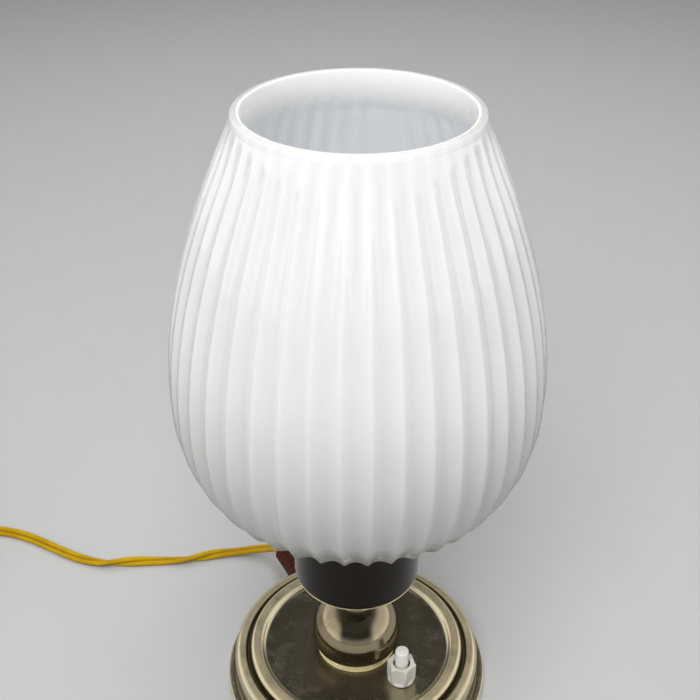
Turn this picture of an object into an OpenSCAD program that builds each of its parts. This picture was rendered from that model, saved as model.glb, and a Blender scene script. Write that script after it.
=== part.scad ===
// Table lamp: a spun and plated metal foot with two beads, a ball stem, a pleated opal glass
// shade on a cup, a push switch on the foot, and a flat twin flex with a two-pin plug.
// Millimetres. The table is z = 0, the lamp stands on the Z axis, and its front is towards -Y.

/* [Base] */
// Outer radius of the foot ring
base_r = 62.5; // [58:0.5:72]
// Width of the foot ring outside the lower bead
foot_w = 3.7; // [2.8:0.1:5]
// Width of the lower bead
ring2_w = 5.4; // [4.8:0.1:6.6]
// Width of the groove between the two beads
groove_w = 2.0; // [1.4:0.1:2.6]
// Depth of the groove below the plate
groove_depth = 3.0; // [2:0.1:4]
// Radius of the upper bead's crest
bead_r = 3.4; // [2.8:0.1:4.2]
// Radius of the fillet between the upper bead and the plate
plate_fillet = 4.0; // [3.2:0.1:6]
// Height of the plate's top face above the table
plate_z = 17.0; // [16:0.5:22]
// Rise of the upper bead above the plate
ring1_rise = 3.5; // [2.6:0.1:4.4]
// Rise of the lower bead above the plate
ring2_rise = 0.6; // [0.2:0.1:1.4]
// Sheet thickness of the spun base
base_wall = 1.0; // [0.8:0.1:1.3]
// Height of the base's lower edge above the table
edge_lift = 0.6; // [0.4:0.1:1]
// Thickness of the felt under the lamp
felt_t = 2.1; // [1.6:0.1:3]
// Thickness of the bottom plate
bottom_plate_t = 1.0; // [0.8:0.1:1.5]
// Thickness of the iron weight
weight_t = 4.2; // [3:0.1:4.6]
// Gap between the weight's rim and the upper bead's wall
weight_margin = 4.4; // [3:0.1:8]

/* [Stem] */
// Radius of the threaded tube
tube_r = 5.0; // [4.6:0.1:5.4]
// Bore radius of the threaded tube
tube_bore_r = 3.5; // [3.3:0.1:3.8]
// Length of tube below the lower nut
tube_tail = 0.4; // [0.2:0.1:0.8]
// Width across flats of the tube's nuts
nut_af = 14.0; // [13:0.5:17]
// Thickness of the tube's nuts
nut_t = 4.0; // [3:0.1:4.4]
// Radius of the washer under the weight
washer_r = 10.0; // [9.5:0.5:14]
// Thickness of the washer
washer_t = 1.2; // [0.8:0.1:1.6]
// Radius of the brass collar
collar_r = 17.8; // [16:0.1:19]
// Height of the brass collar
collar_h = 5.5; // [4:0.1:8]
// Radius of the ball
knob_r = 20.8; // [20:0.1:23]
// Height of the ball's centre above the collar
knob_rise = 5.0; // [3.5:0.1:7]
// Wall of the ball
knob_wall = 1.4; // [1:0.1:2]
// Outer radius of the neck
neck_r = 8.0; // [7.4:0.1:9]
// Height of the neck between the ball and the cup
neck_h = 15.5; // [12:0.5:22]

/* [Cup and glass seat] */
// Outer radius of the cup
cup_r = 28.4; // [26:0.1:31]
// Height of the cup
cup_h = 48.0; // [44:0.5:56]
// Rise of the cup's bottom from the neck to the start of its rounding
cup_dish = 5.2; // [4:0.1:7]
// Radius of the cup's rounded lower edge
cup_round = 4.0; // [3:0.1:6]
// Width of the cup's turned-out rim
cup_rim_w = 4.6; // [3.5:0.1:6]
// Sheet thickness of the cup
cup_wall = 1.0; // [0.8:0.1:1.4]
// Thickness of the gasket between the cup and the glass
gasket_t = 2.0; // [1.5:0.1:3]
// Width of the gasket
gasket_w = 6.0; // [4.5:0.1:7]

/* [Glass shade] */
// Height of the glass shade
shade_h = 174.7; // [160:0.5:190]
// Outer radius at the belly, on the ridges
belly_r = 75.7; // [70:0.1:82]
// Height of the belly above the seat
belly_rise = 60.0; // [54:0.1:66]
// Outer radius of the lip
lip_r = 45.2; // [42:0.1:50]
// Height of the lip
lip_h = 3.6; // [2.5:0.1:5]
// Inward slope of the wall under the lip
top_slope = 0.494; // [0.46:0.002:0.53]
// Radius of the scalloped lower edge, on the ridges
edge_r = 61.6; // [58:0.1:65]
// Height of the scalloped lower edge above the seat
edge_rise = 15.6; // [14:0.1:18]
// Inward slope of the wall above the lower edge
edge_slope = 0.81; // [0.75:0.01:0.95]
// Thickness of the glass
glass_t = 3.0; // [2.6:0.1:3.6]
// Thickness of the glass at the seat
seat_t = 4.2; // [3.6:0.1:5]
// Width of the flat seat around the hole
seat_w = 12.5; // [11:0.1:14]
// Radial gap between the lampholder and the hole in the glass
hole_gap = 1.7; // [1.2:0.1:2.4]
// Number of pleats
pleats = 42; // [36:2:48]
// Depth of a pleat
pleat_d = 2.3; // [1.6:0.1:2.8]
// Softness of the ridges between the pleats
ridge_soft = 0.25; // [0.15:0.05:0.6]
// Share of the pleat depth that shows on the inside
inner_share = 0.4; // [0.2:0.05:0.6]
// Height over which the pleats fade out below the lip
fade_h = 14.0; // [8:0.5:24]
// Turn of the first ridge from the front
pleat_turn = 3.6; // [0:0.1:8]

/* [Lampholder and bulb] */
// Outer radius of the lampholder's shell
holder_r = 19.8; // [19:0.1:21]
// Wall of the lampholder's shell
holder_wall = 2.4; // [2:0.1:3]
// Height of the lampholder's cap
cap_h = 24.0; // [22:0.5:28]
// Height of the lampholder's shell
holder_h = 42.0; // [39:0.5:46]
// Length of tube inside the lampholder's cap
cap_thread = 8.0; // [7:0.5:9]
// Thickness of the porcelain insert
insert_t = 11.0; // [9:0.5:13]
// Outer radius of the brass screw shell
screw_r = 14.0; // [13.8:0.1:14.6]
// Wall of the brass screw shell
screw_wall = 0.6; // [0.4:0.1:0.7]
// Height of the brass screw shell
screw_h = 30.0; // [26:0.5:32]
// Outer radius of the shade ring
shade_ring_r = 28.5; // [27:0.1:31]
// Thickness of the shade ring
shade_ring_t = 3.2; // [2.4:0.1:4]
// Radius of the bulb
bulb_r = 29.0; // [27:0.5:32]
// Length of the bulb's glass above its cap
bulb_len = 80.0; // [74:0.5:90]
// Wall of the bulb's glass
bulb_wall = 0.8; // [0.6:0.1:1]

/* [Switch] */
// Share of the way from the ball to the edge of the flat plate at which the switch stands
switch_share = 0.44; // [0.43:0.005:0.5]
// Turn of the switch from the front towards the right
switch_turn = 44.5; // [35:0.5:54]
// Radius of the switch's threaded neck
switch_neck_r = 5.0; // [4.8:0.1:5.4]
// Radius of the switch's body
switch_body_r = 8.8; // [8.4:0.1:9.4]
// Height of the switch's body below the plate
switch_body_h = 10.6; // [10:0.1:11.2]
// Width across flats of the switch's cap nut
switch_nut_af = 12.0; // [11.6:0.1:13]
// Height of the cap nut
switch_nut_h = 10.6; // [9:0.1:11.5]
// Thickness of the cap nut's top
switch_nut_top = 1.5; // [1.2:0.1:2]
// Radius of the hole in the cap nut's top
switch_nut_hole_r = 3.95; // [3.7:0.05:4.3]
// Radius of the push button
button_r = 3.1; // [2.9:0.05:3.3]
// Height of the button above the cap nut
button_out = 8.2; // [5:0.1:10]
// Travel of the button
button_travel = 2.5; // [1.5:0.1:2.5]
// Wire radius of the return spring
spring_wire_r = 0.25; // [0.2:0.01:0.28]
// Turns of the return spring
spring_turns = 3; // [2:1:3]

/* [Flex] */
// Width of the flat twin flex
flex_w = 5.2; // [4.6:0.1:5.4]
// Thickness of the flat twin flex
flex_t = 2.6; // [2.2:0.1:2.8]
// Height of the flex where it leaves the base
flex_z = 10.0; // [9.6:0.1:11]
// Turn of the flex from straight back towards the left
flex_turn = 30.2; // [24:0.1:36]
// Length of the strain relief outside the base
sleeve_len = 22.0; // [20:0.5:23]
// Radius of the strain relief at the base
sleeve_r1 = 4.6; // [4.4:0.1:4.9]
// Radius of the strain relief at its tip
sleeve_r2 = 3.7; // [3.5:0.1:4.2]
// Radius of the single insulated leads inside
lead_r = 1.0; // [0.8:0.05:1.05]
// Length of the flex from the strain relief to the plug
flex_length = 1800; // [1700:10:1900]
// Mean radius of the coil's turns
coil_r = 28.5; // [28:0.1:30]
// Gap between turns of the coil
coil_gap = 0.5; // [0.45:0.05:0.8]
// Thickness of the tie round the coil
tie_t = 0.8; // [0.6:0.1:1]
// Width of the tie
tie_w = 6.0; // [4:0.5:9]
// Length of the plug's body
plug_len = 34.0; // [30:0.5:40]
// Width of the plug's body
plug_w = 35.0; // [33:0.5:40]
// Distance between the plug's pins
pin_pitch = 19.0; // [18.6:0.1:19.4]
// Radius of a plug pin
pin_r = 2.0; // [1.9:0.05:2.4]
// Length of a plug pin
pin_len = 19.0; // [17:0.5:20]

/* [Hidden] */
$fn = 96;
// Gap between flat faces that rest on each other
seat_gap = 0.05;
// Gap between a round piece and the hole that it stands in
hole_clear = 0.15;
// Gap between pieces that are only near each other
loose_gap = 0.3;
// Running clearance of the button in the switch's neck
run_clear = 0.06;
// How far a cut runs past the face that it leaves
over = 1;
// How far the softened corners of a nut stand out from its flats
nut_corner = 0.9;
switch_nut_corner = 0.85;

// Base, from the foot ring inwards and from the table upwards
foot_h = felt_t + bottom_plate_t + base_wall + 2 * seat_gap;
foot_round = 0.8;
ring2_r = base_r - foot_w;
ring1_r = ring2_r - ring2_w - groove_w;
bead_x = ring1_r - bead_r;
bead_z = plate_z + ring1_rise - bead_r;
ring2_z = plate_z + ring2_rise;
ring2_lip = 1.2;
ring2_arc = ring2_w - ring2_lip;
groove_z = plate_z - groove_depth;
fillet_z = plate_z + plate_fillet;
fillet_turn = asin((fillet_z - bead_z) / (bead_r + plate_fillet));
fillet_x = bead_x - (bead_r + plate_fillet) * cos(fillet_turn);
tube_hole_r = tube_r + hole_clear;
plate_under = plate_z - base_wall;
pocket_gap = 1.2;

// Stem, from the weight down and from the plate up
weight_z = plate_under - seat_gap - weight_t;
washer_z = weight_z - seat_gap - washer_t;
nut_z = washer_z - seat_gap - nut_t;
tube_z0 = nut_z - tube_tail;
collar_z = plate_z + seat_gap;
knob_z0 = collar_z + collar_h + seat_gap;
knob_z = knob_z0 + knob_rise;
knob_flat_r = neck_r + 1;
knob_top = knob_z + sqrt(pow(knob_r, 2) - pow(knob_flat_r, 2));
neck_z = knob_top + seat_gap;
cup_z = neck_z + neck_h + seat_gap;
locknut_z = cup_z + cup_wall + seat_gap;
cap_z = locknut_z + nut_t + seat_gap;
tube_z1 = cap_z + cap_thread;

// Cup rim, gasket and glass seat
cup_top = cup_z + cup_h;
cup_rim_r = cup_r + cup_rim_w;
gasket_z = cup_top + seat_gap;
shade_z = gasket_z + gasket_t + loose_gap;
shade_hole_r = holder_r + hole_gap;
seat_r = shade_hole_r + seat_w;
shade_ring_z = shade_z + seat_t + loose_gap;

// Lampholder and bulb
cap_wall = 2.6;
cap_neck_r = 9.0;
cap_neck_h = 3.0;
shell_z = cap_z + cap_h + seat_gap;
insert_r = holder_r - cap_wall - hole_clear;
insert_z = shell_z - seat_gap - insert_t;
terminal_r = 9.0;
recess_z = insert_z + 4.5;
terminal_screw_r = 2.0;
terminal_screw_h = 2.4;
contact_z = shell_z;
contact_h = 2.2;
screw_z = shell_z;
thread_gap = 0.35;
bulb_cap_r = screw_r - screw_wall - thread_gap;
bulb_tip_z = contact_z + contact_h + seat_gap;
bulb_tip_h = 2.0;
bulb_tip_r = 4.8;
bulb_base_z = bulb_tip_z + bulb_tip_h + seat_gap;
bulb_base_h = 3.0;
bulb_cap_z = bulb_base_z + bulb_base_h + seat_gap;
bulb_cap_h = 22.0;
bulb_cap_wall = 0.5;
bulb_neck_r = bulb_cap_r - bulb_cap_wall - hole_clear;
bulb_set = 4.0;
bulb_z0 = bulb_cap_z + bulb_set;
bulb_z1 = bulb_cap_z + bulb_cap_h + bulb_len;
bulb_z = bulb_z1 - bulb_r;

// Switch
switch_r = knob_r + (fillet_x - knob_r) * switch_share;
switch_dir = [sin(switch_turn), -cos(switch_turn), 0];
switch_at = switch_r * switch_dir;
switch_top = plate_under - seat_gap;
switch_bottom = switch_top - switch_body_h;
switch_base_t = 1.6;
switch_room = switch_bottom + switch_base_t + seat_gap;
switch_room_r = button_r + 1.7;
switch_roof_t = 2.9;
switch_ceiling = switch_top - switch_roof_t;
switch_nut_z = plate_z + seat_gap;
switch_nut_z1 = switch_nut_z + switch_nut_h;
switch_neck_z = switch_nut_z1 - switch_nut_top - loose_gap;
flange_t = 1.5;
flange_gap = 0.4;
flange_r = switch_room_r - flange_gap;
flange_z = switch_ceiling - hole_clear - flange_t;
button_z = switch_nut_z1 + button_out;
button_dome = 1.2;
spring_r = button_r - 0.7;
tongue_t = 0.8;
tongue_out = 1.0;
live_turn = -125;
switched_turn = 180;
spring_z0 = switch_room + seat_gap;
spring_z1 = flange_z - seat_gap;

// Flex and strain relief: a frame at the hole, with its first axis pointing out of the base
flex_dir = [-sin(flex_turn), cos(flex_turn), 0];
sleeve_neck_r = sleeve_r2;
sleeve_hole_r = sleeve_neck_r + hole_clear;
sleeve_shoulder = 0.2;
sleeve_flange_r = sleeve_r1 - sleeve_shoulder;
sleeve_flange_t = 1.4;
wall_sag = ring2_r - base_wall - sqrt(pow(ring2_r - base_wall, 2) - pow(sleeve_flange_r, 2));
sleeve_in = ring2_r - base_wall - wall_sag - hole_clear;
sleeve_out = ring2_r + hole_clear;
sleeve_tip = sleeve_out + sleeve_len;
flex_inside = 3.0;
flex_start = sleeve_in - sleeve_flange_t - flex_inside;
function flex_point(r, z) = [r * flex_dir[0], r * flex_dir[1], z];

// Coil: two layers of turns that wind in below and out above, counter-clockwise
coil_at = [-250, 77];
coil_from = 66;
coil_pitch = flex_t + coil_gap;
coil_step = flex_w + coil_gap;
coil_lift = 0.2;
coil_z1 = tie_t + coil_lift + flex_w / 2;
coil_z2 = coil_z1 + coil_step;
coil_heading = [-sin(coil_from), cos(coil_from)];
lead_length = 205;
reversal_length = 69;
coil_exit = 16;
coil_turns = (flex_length - lead_length - reversal_length - flex_w - coil_exit) / (4 * PI * coil_r);
coil_out = coil_r + coil_turns * coil_pitch / 2;
coil_in = coil_out - coil_turns * coil_pitch;
coil_start = coil_at + coil_out * [cos(coil_from), sin(coil_from)];
coil_total = 2 * coil_turns + 0.5;
loop_rings = 24;
coil_steps = round(coil_total * loop_rings);
function coil_radius(u) =
    u < coil_turns + 0.25 ? coil_out - coil_pitch * u : coil_in - coil_pitch * (coil_turns + 0.5 - u);
function coil_height(u) =
    let (s = max(0, min(1, (u - coil_turns) / 0.5))) coil_z1 + coil_step * s * s * (3 - 2 * s);
function coil_point(u) =
    let (a = coil_from + 360 * u, r = coil_radius(u))
        [coil_at[0] + r * cos(a), coil_at[1] + r * sin(a), coil_height(u), 270];
coil_end_turn = coil_from + 360 * coil_total;
coil_end_dir = [-sin(coil_end_turn), cos(coil_end_turn), 0];
coil_end = [for (i = [0:2]) coil_point(coil_total)[i]];
coil_path = concat(
    [concat(coil_start - flex_w * coil_heading, coil_z1, 270)],
    [for (i = [0:coil_steps]) coil_point(coil_total * i / coil_steps)],
    [concat(coil_end + coil_exit * coil_end_dir, 270)]);

// Route of the flex over the table: x, y, z and roll, the roll being the turn of its flat side
table_gap = 0.1;
table_z = flex_t / 2 + table_gap;
sleeve_mid = sleeve_tip - 10;
route = concat(
    [for (r = [flex_start, sleeve_in, sleeve_out, sleeve_mid, sleeve_tip])
        concat(flex_point(r, flex_z), 0)],
    [[-43, 74, 9.4, 0], [-46, 77.4, 8.2, 0], [-51, 80.4, 6.6, 0], [-57, 82, 5, 0], [-64, 82, 3.4, 0],
     [-71, 80.6, 2.2, 0], [-79, 78.4, table_z, 0], [-87, 76, table_z, 0], [-95, 73.6, table_z, 0],
     [-103, 71.6, 1.8, 25], [-111, 70.2, 2.6, 70], [-119, 69.4, 2.8, 110], [-127, 69.4, 2, 155],
     [-135, 70, table_z, 180], [-144, 71.8, table_z, 180], [-154, 75, table_z, 180],
     [-165, 79, table_z, 180], [-178, 84.2, table_z, 180], [-191, 90, table_z, 180],
     [-204, 96, 1.8, 190], [-214, 100.6, 2.6, 215], [-224, 105, 3.4, 250]],
    [for (d = [2 * flex_w, flex_w + seat_gap]) concat(coil_start - d * coil_heading, coil_z1, 270)]);

// Plug, lying on the table where the coil ends
plug_at = coil_end + (coil_exit + seat_gap) * coil_end_dir;
plug_turn = coil_end_turn + 90;
plug_half_t = coil_z2 - coil_lift;
plug_tail = 20;
plug_round = 4;
plug_nose = 5;
tail_r = flex_w * 0.75;
tail_flare = 2;
pin_set = 10;
pin_tip = 1.0;
pin_tip_r = pin_r - 0.8;

// Least gap between the turns of the coil, along the line between the middles of two turns
function turn_gap(i, j) =
    let (a = coil_point(coil_total * i / coil_steps), b = coil_point(coil_total * j / coil_steps),
         across = norm([a[0] - b[0], a[1] - b[1]]), rise = a[2] - b[2])
        norm([across, rise]) * (1 - 1 / norm([across / flex_t, rise / flex_w]));
coil_clear = min([for (i = [0:coil_steps - loop_rings], j = [loop_rings - 1:loop_rings + 1])
    turn_gap(i, min(i + j, coil_steps))]);
function run(path, from) =
    let (steps = [for (i = [from:len(path) - 2]) norm(xyz(path[i + 1]) - xyz(path[i]))])
        steps * [for (s = steps) 1];
echo(lead_run = run(route, 4), coil_run = run(coil_path, 0), both = run(route, 4) + run(coil_path, 0));
echo(coil_clear = coil_clear, coil_turns = coil_turns, coil_in = coil_in, coil_out = coil_out);

// Points of an arc, of a curve with one control point, and along a tube
function arc(x, z, r, a0, a1, n = 8) =
    [for (i = [0:n]) let (a = a0 + (a1 - a0) * i / n) [x + r * cos(a), z + r * sin(a)]];
function bend(a, b, c, t) = (1 - t) * (1 - t) * a + 2 * t * (1 - t) * b + t * t * c;
function bend_dir(a, b, c, t) = let (d = (1 - t) * (b - a) + t * (c - b)) d / norm(d);
function unit(v) = v / norm(v);
function smooth(t) = let (s = max(0, min(1, t))) s * s * (3 - 2 * s);
function xyz(p) = [p[0], p[1], p[2]];
function heading(path, i) =
    unit(xyz(path[min(i + 1, len(path) - 1)]) - xyz(path[max(i - 1, 0)]));

// One ring of a flat tube: half width a and half thickness b, rolled about the path
function tube_ring(path, i, a, b, sides) =
    let (t = heading(path, i), across = unit(cross(t, [0, 0, 1])), up = cross(across, t), roll = path[i][3])
        [for (k = [0:sides - 1])
            let (q = 360 * (k + 0.5) / sides, u = a * cos(q), v = b * sin(q))
                xyz(path[i]) + (u * cos(roll) - v * sin(roll)) * across
                    + (u * sin(roll) + v * cos(roll)) * up];

// One ring of a round tube whose path stays in planes that do not hold the reference direction
function lead_ring(path, i, r, side, sides) =
    let (t = heading(path, i), across = unit(side - (side * t) * t), up = cross(across, t))
        [for (k = [0:sides - 1]) let (q = 360 * k / sides) path[i] + r * cos(q) * across + r * sin(q) * up];

// A closed skin of triangles over equal rings
module skin(rings) {
    n = len(rings[0]);
    last = len(rings) - 1;
    walls = [for (i = [0:last - 1], k = [0:n - 1])
        let (a = i * n + k, b = i * n + (k + 1) % n) each [[a, b, a + n], [b, b + n, a + n]]];
    caps = [for (k = [1:n - 2]) each [[0, k + 1, k], [last * n, last * n + k, last * n + k + 1]]];
    polyhedron([for (ring = rings) each ring], concat(walls, caps), convexity = 8);
}

module flat_tube(path, a, b, sides) {
    skin([for (i = [0:len(path) - 1]) tube_ring(path, i, a, b, sides)]);
}

module lead(path, side) {
    skin([for (i = [0:len(path) - 1]) lead_ring(path, i, lead_r, side, 6)]);
}

module ring(r0, r1, z0, z1) {
    translate([0, 0, z0])
        difference() {
            cylinder(r = r1, h = z1 - z0);
            translate([0, 0, -over]) cylinder(r = r0, h = z1 - z0 + 2 * over);
        }
}

module hex_nut(af, bore_r, h) {
    difference() {
        intersection() {
            cylinder(r = af / sqrt(3), h = h, $fn = 6);
            cylinder(r = af / 2 + nut_corner, h = h);
        }
        translate([0, 0, -over]) cylinder(r = bore_r, h = h + 2 * over);
    }
}

// Turns the Z axis to point out of the base along the flex, at the flex's height
module along_flex(r) {
    translate(flex_point(r, flex_z)) rotate([0, 0, 90 + flex_turn]) rotate([0, 90, 0]) children();
}

// Outline of a flat opening for the flex, with round ends
module flex_slot(gap) {
    half_w = flex_w / 2 + gap;
    half_t = flex_t / 2 + gap;
    reach = half_w - half_t;
    square([2 * half_t, 2 * reach], center = true);
    for (s = [-1, 1]) translate([0, s * reach]) circle(half_t);
}

// The spun base: two beads and a foot ring round a flat plate
module base_shell() {
    inner_z = groove_z - base_wall;
    inner_step = 0.2;
    inner_turn = 80;
    outside = concat(
        [[tube_hole_r, plate_z]],
        arc(fillet_x, fillet_z, plate_fillet, -90, -fillet_turn),
        arc(bead_x, bead_z, bead_r, 180 - fillet_turn, 0, 14),
        arc(ring1_r + groove_w / 2, groove_z + groove_w / 2, groove_w / 2, 180, 360),
        arc(ring2_r - ring2_arc, ring2_z - ring2_lip, ring2_lip, 180, 90, 5),
        arc(ring2_r - ring2_arc, ring2_z - ring2_arc, ring2_arc, 90, 0, 10),
        arc(ring2_r + foot_round, foot_h + foot_round, foot_round, 180, 270, 4),
        arc(base_r - foot_round, foot_h - foot_round, foot_round, 90, 0, 4),
        [[base_r, edge_lift]]);
    inside = concat(
        [[base_r - base_wall, edge_lift], [base_r - base_wall, foot_h - base_wall],
         [ring2_r - base_wall, foot_h - base_wall]],
        arc(ring2_r - ring2_arc, ring2_z - ring2_arc, ring2_arc - base_wall, 0, inner_turn),
        [[ring2_r - ring2_arc + inner_step, inner_z], [ring1_r - base_wall, inner_z]],
        arc(bead_x, bead_z, bead_r - base_wall, 0, 180 - fillet_turn, 14),
        arc(fillet_x, fillet_z, plate_fillet + base_wall, -fillet_turn, -90),
        [[tube_hole_r, plate_under]]);
    color("#b9ad8e")
        difference() {
            rotate_extrude() polygon(concat(outside, inside));
            translate([switch_at[0], switch_at[1], plate_under - over])
                cylinder(r = switch_neck_r + hole_clear, h = base_wall + 2 * over);
            along_flex(ring2_r - base_wall - 2 * over) cylinder(r = sleeve_hole_r, h = base_wall + 4 * over);
        }
}

// The cast weight under the plate, with a pocket for the switch
module base_weight() {
    color("#4a4744")
        difference() {
            translate([0, 0, weight_z]) cylinder(r = ring1_r - base_wall - weight_margin, h = weight_t);
            translate([0, 0, weight_z - over]) cylinder(r = tube_hole_r, h = weight_t + 2 * over);
            translate([switch_at[0], switch_at[1], weight_z - over])
                cylinder(r = switch_body_r + pocket_gap, h = weight_t + 2 * over);
        }
}

module bottom_plate() {
    color("#8f8b80")
        translate([0, 0, felt_t + seat_gap])
            cylinder(r = base_r - base_wall - loose_gap, h = bottom_plate_t);
}

module felt_pad() {
    color("#3d4a3a") cylinder(r = base_r - base_wall - 2 * loose_gap, h = felt_t);
}

module stem_tube() {
    color("#a08a55") ring(tube_bore_r, tube_r, tube_z0, tube_z1);
}

module stem_nut() {
    color("#b8a878") translate([0, 0, nut_z]) hex_nut(nut_af, tube_hole_r, nut_t);
}

module stem_washer() {
    color("#a9a69c") ring(tube_hole_r, washer_r, washer_z, washer_z + washer_t);
}

// The bright brass collar that the ball stands on
module stem_collar() {
    round_r = 1.2;
    top_z = collar_z + collar_h;
    color("#d9b45a")
        rotate_extrude()
            polygon(concat(
                [[tube_hole_r, collar_z]],
                arc(collar_r - round_r, collar_z + round_r, round_r, -90, 0, 4),
                arc(collar_r - round_r, top_z - round_r, round_r, 0, 90, 4),
                [[tube_hole_r, top_z]]));
}

// The hollow ball, open below and drilled for the tube at its top
module stem_knob() {
    low = -asin(knob_rise / knob_r);
    high = acos(knob_flat_r / knob_r);
    inner_r = knob_r - knob_wall;
    inner_low = -asin((knob_rise - knob_wall) / inner_r);
    floor_w = 3;
    floor_r = collar_r - floor_w;
    color("#bfb395")
        rotate_extrude()
            polygon(concat(
                arc(0, knob_z, knob_r, low, high, 20),
                [[tube_hole_r, knob_top], [tube_hole_r, knob_top - 2 * knob_wall]],
                arc(0, knob_z, inner_r, acos(neck_r / inner_r), inner_low, 20),
                [[floor_r, knob_z0 + knob_wall], [floor_r, knob_z0]]));
}

module stem_neck() {
    foot_t = 1.5;
    foot_r = neck_r + 0.8;
    top_z = neck_z + neck_h;
    color("#b9ad8e")
        rotate_extrude()
            polygon([[tube_hole_r, neck_z], [foot_r, neck_z], [foot_r, neck_z + foot_t],
                [neck_r, neck_z + foot_t], [neck_r, top_z - foot_t], [foot_r, top_z - foot_t],
                [foot_r, top_z], [tube_hole_r, top_z]]);
}

// The spun cup, with a rounded lower edge and a rim turned out under the glass
module shade_cup() {
    round_x = cup_r - cup_round;
    round_z = cup_z + cup_dish + cup_round;
    lean = 20;
    flat_w = 1.5;
    flat_r = neck_r + flat_w;
    color("#a39a80")
        rotate_extrude()
            polygon(concat(
                [[tube_hole_r, cup_z], [flat_r, cup_z]],
                arc(round_x, round_z, cup_round, -90 + lean, 0),
                [[cup_r, cup_top - cup_wall], [cup_rim_r, cup_top - cup_wall], [cup_rim_r, cup_top],
                 [cup_r - cup_wall, cup_top]],
                arc(round_x, round_z, cup_round - cup_wall, 0, -90 + lean),
                [[flat_r, cup_z + cup_wall], [tube_hole_r, cup_z + cup_wall]]));
}

module cup_locknut() {
    color("#b8a878") translate([0, 0, locknut_z]) hex_nut(nut_af, tube_hole_r, nut_t);
}

module cup_gasket() {
    color("#2e2c2a") ring(cup_rim_r - gasket_w, cup_rim_r, gasket_z, gasket_z + gasket_t);
}

// Middle lines of the glass wall on the ridges, from the belly up and from the belly down
belly = [belly_r, shade_z + belly_rise];
lip_step = 0.3;
wall_top = [lip_r + lip_step, shade_z + shade_h - lip_h];
shoulder = [belly_r, wall_top[1] - (belly_r - wall_top[0]) / top_slope];
edge = [edge_r, shade_z + edge_rise];
heel = [belly_r, edge[1] + (belly_r - edge_r) / edge_slope];
function pleat_depth(z) = pleat_d * smooth((wall_top[1] - z) / fade_h);

// Fall of a pleat from its crisp ridge, at 0 and 1, to its hollow, at 0.5
function soft_rise(s) = sqrt(s * s + ridge_soft * ridge_soft) - ridge_soft;
function pleat_fall(t) = soft_rise(sin(180 * t)) / soft_rise(1);

// The wall as rings of radius, height and pleat depth, from the top of the wall to the lower edge
upper_steps = 8;
lower_steps = 5;
function wall_at(k) = k <= upper_steps
    ? bend(wall_top, shoulder, belly, k / upper_steps)
    : bend(belly, heel, edge, (k - upper_steps) / lower_steps);
function wall_dir(k) = k <= upper_steps
    ? bend_dir(wall_top, shoulder, belly, k / upper_steps)
    : bend_dir(belly, heel, edge, (k - upper_steps) / lower_steps);
wall_steps = upper_steps + lower_steps;

// A ring of the pleated glass, with as many points to each pleat as given
function glass_ring(r, z, depth, per_pleat) =
    [for (k = [0:pleats * per_pleat - 1])
        let (a = -90 + pleat_turn + 360 * k / (pleats * per_pleat),
             rr = r - depth * pleat_fall((k % per_pleat) / per_pleat))
            [rr * cos(a), rr * sin(a), z]];

// The glass shade: a pleated bowl that narrows to a plain lip, with a flat seat round its hole
module glass_shade() {
    lip_top = shade_z + shade_h;
    lip_round = 1.1;
    lip_in = lip_r - glass_t;
    lip_foot = 0.8;
    corner = 2.2;
    corner_depth = pleat_d * 0.9;
    hollow = [edge_r - 12, edge[1] - 7.2];
    hollow_depth = pleat_d * 0.5;
    inner_heel = [edge_r - 14, edge[1] - 3];
    fine = 4;
    coarse = 2;
    fine_rings = [for (k = [0:wall_steps])
        let (p = wall_at(k)) glass_ring(p[0], p[1], pleat_depth(p[1]), fine)];
    under = [[edge_r - corner, edge[1] - corner, corner_depth], concat(hollow, hollow_depth),
        [seat_r, shade_z, 0], [shade_hole_r, shade_z, 0], [shade_hole_r, shade_z + seat_t, 0],
        [seat_r - over, shade_z + seat_t, 0], concat(inner_heel, 0)];
    inner = [for (k = [wall_steps:-2:1])
        let (p = wall_at(k), d = wall_dir(k), depth = pleat_depth(p[1]),
             t = glass_t + depth * (1 - inner_share))
            [p[0] + t * d[1], p[1] - t * d[0], depth * inner_share]];
    lip = [[lip_in, lip_top - lip_h, 0], [lip_in, lip_top - lip_round, 0],
        [lip_in + lip_round, lip_top, 0], [lip_r - lip_round, lip_top, 0], [lip_r, lip_top - lip_round, 0],
        [lip_r, lip_top - lip_h + lip_foot, 0]];
    coarse_rings = [for (q = concat(under, inner, lip)) glass_ring(q[0], q[1], q[2], coarse)];
    n_fine = pleats * fine;
    n_coarse = pleats * coarse;
    base = n_fine * len(fine_rings);
    last = len(coarse_rings) - 1;
    fine_faces = [for (i = [0:wall_steps - 1], k = [0:n_fine - 1])
        let (a = i * n_fine + k, b = i * n_fine + (k + 1) % n_fine)
            each [[a, b, a + n_fine], [b, b + n_fine, a + n_fine]]];
    coarse_faces = [for (i = [0:last - 1], k = [0:n_coarse - 1])
        let (a = base + i * n_coarse + k, b = base + i * n_coarse + (k + 1) % n_coarse)
            each [[a, b, a + n_coarse], [b, b + n_coarse, a + n_coarse]]];
    edge_row = wall_steps * n_fine;
    edge_faces = [for (k = [0:n_coarse - 1])
        let (f0 = edge_row + 2 * k, f1 = f0 + 1, f2 = edge_row + (2 * k + 2) % n_fine,
             c0 = base + k, c1 = base + (k + 1) % n_coarse)
            each [[f0, f1, c0], [f1, c1, c0], [f1, f2, c1]]];
    lip_row = base + last * n_coarse;
    lip_faces = [for (k = [0:n_coarse - 1])
        let (f0 = 2 * k, f1 = f0 + 1, f2 = (2 * k + 2) % n_fine,
             c0 = lip_row + k, c1 = lip_row + (k + 1) % n_coarse)
            each [[f1, f0, c0], [c1, f1, c0], [f2, f1, c1]]];
    color("#f1f3ef")
        polyhedron(
            concat([for (r = fine_rings) each r], [for (r = coarse_rings) each r]),
            concat(fine_faces, edge_faces, coarse_faces, lip_faces), convexity = 10);
}

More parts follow.
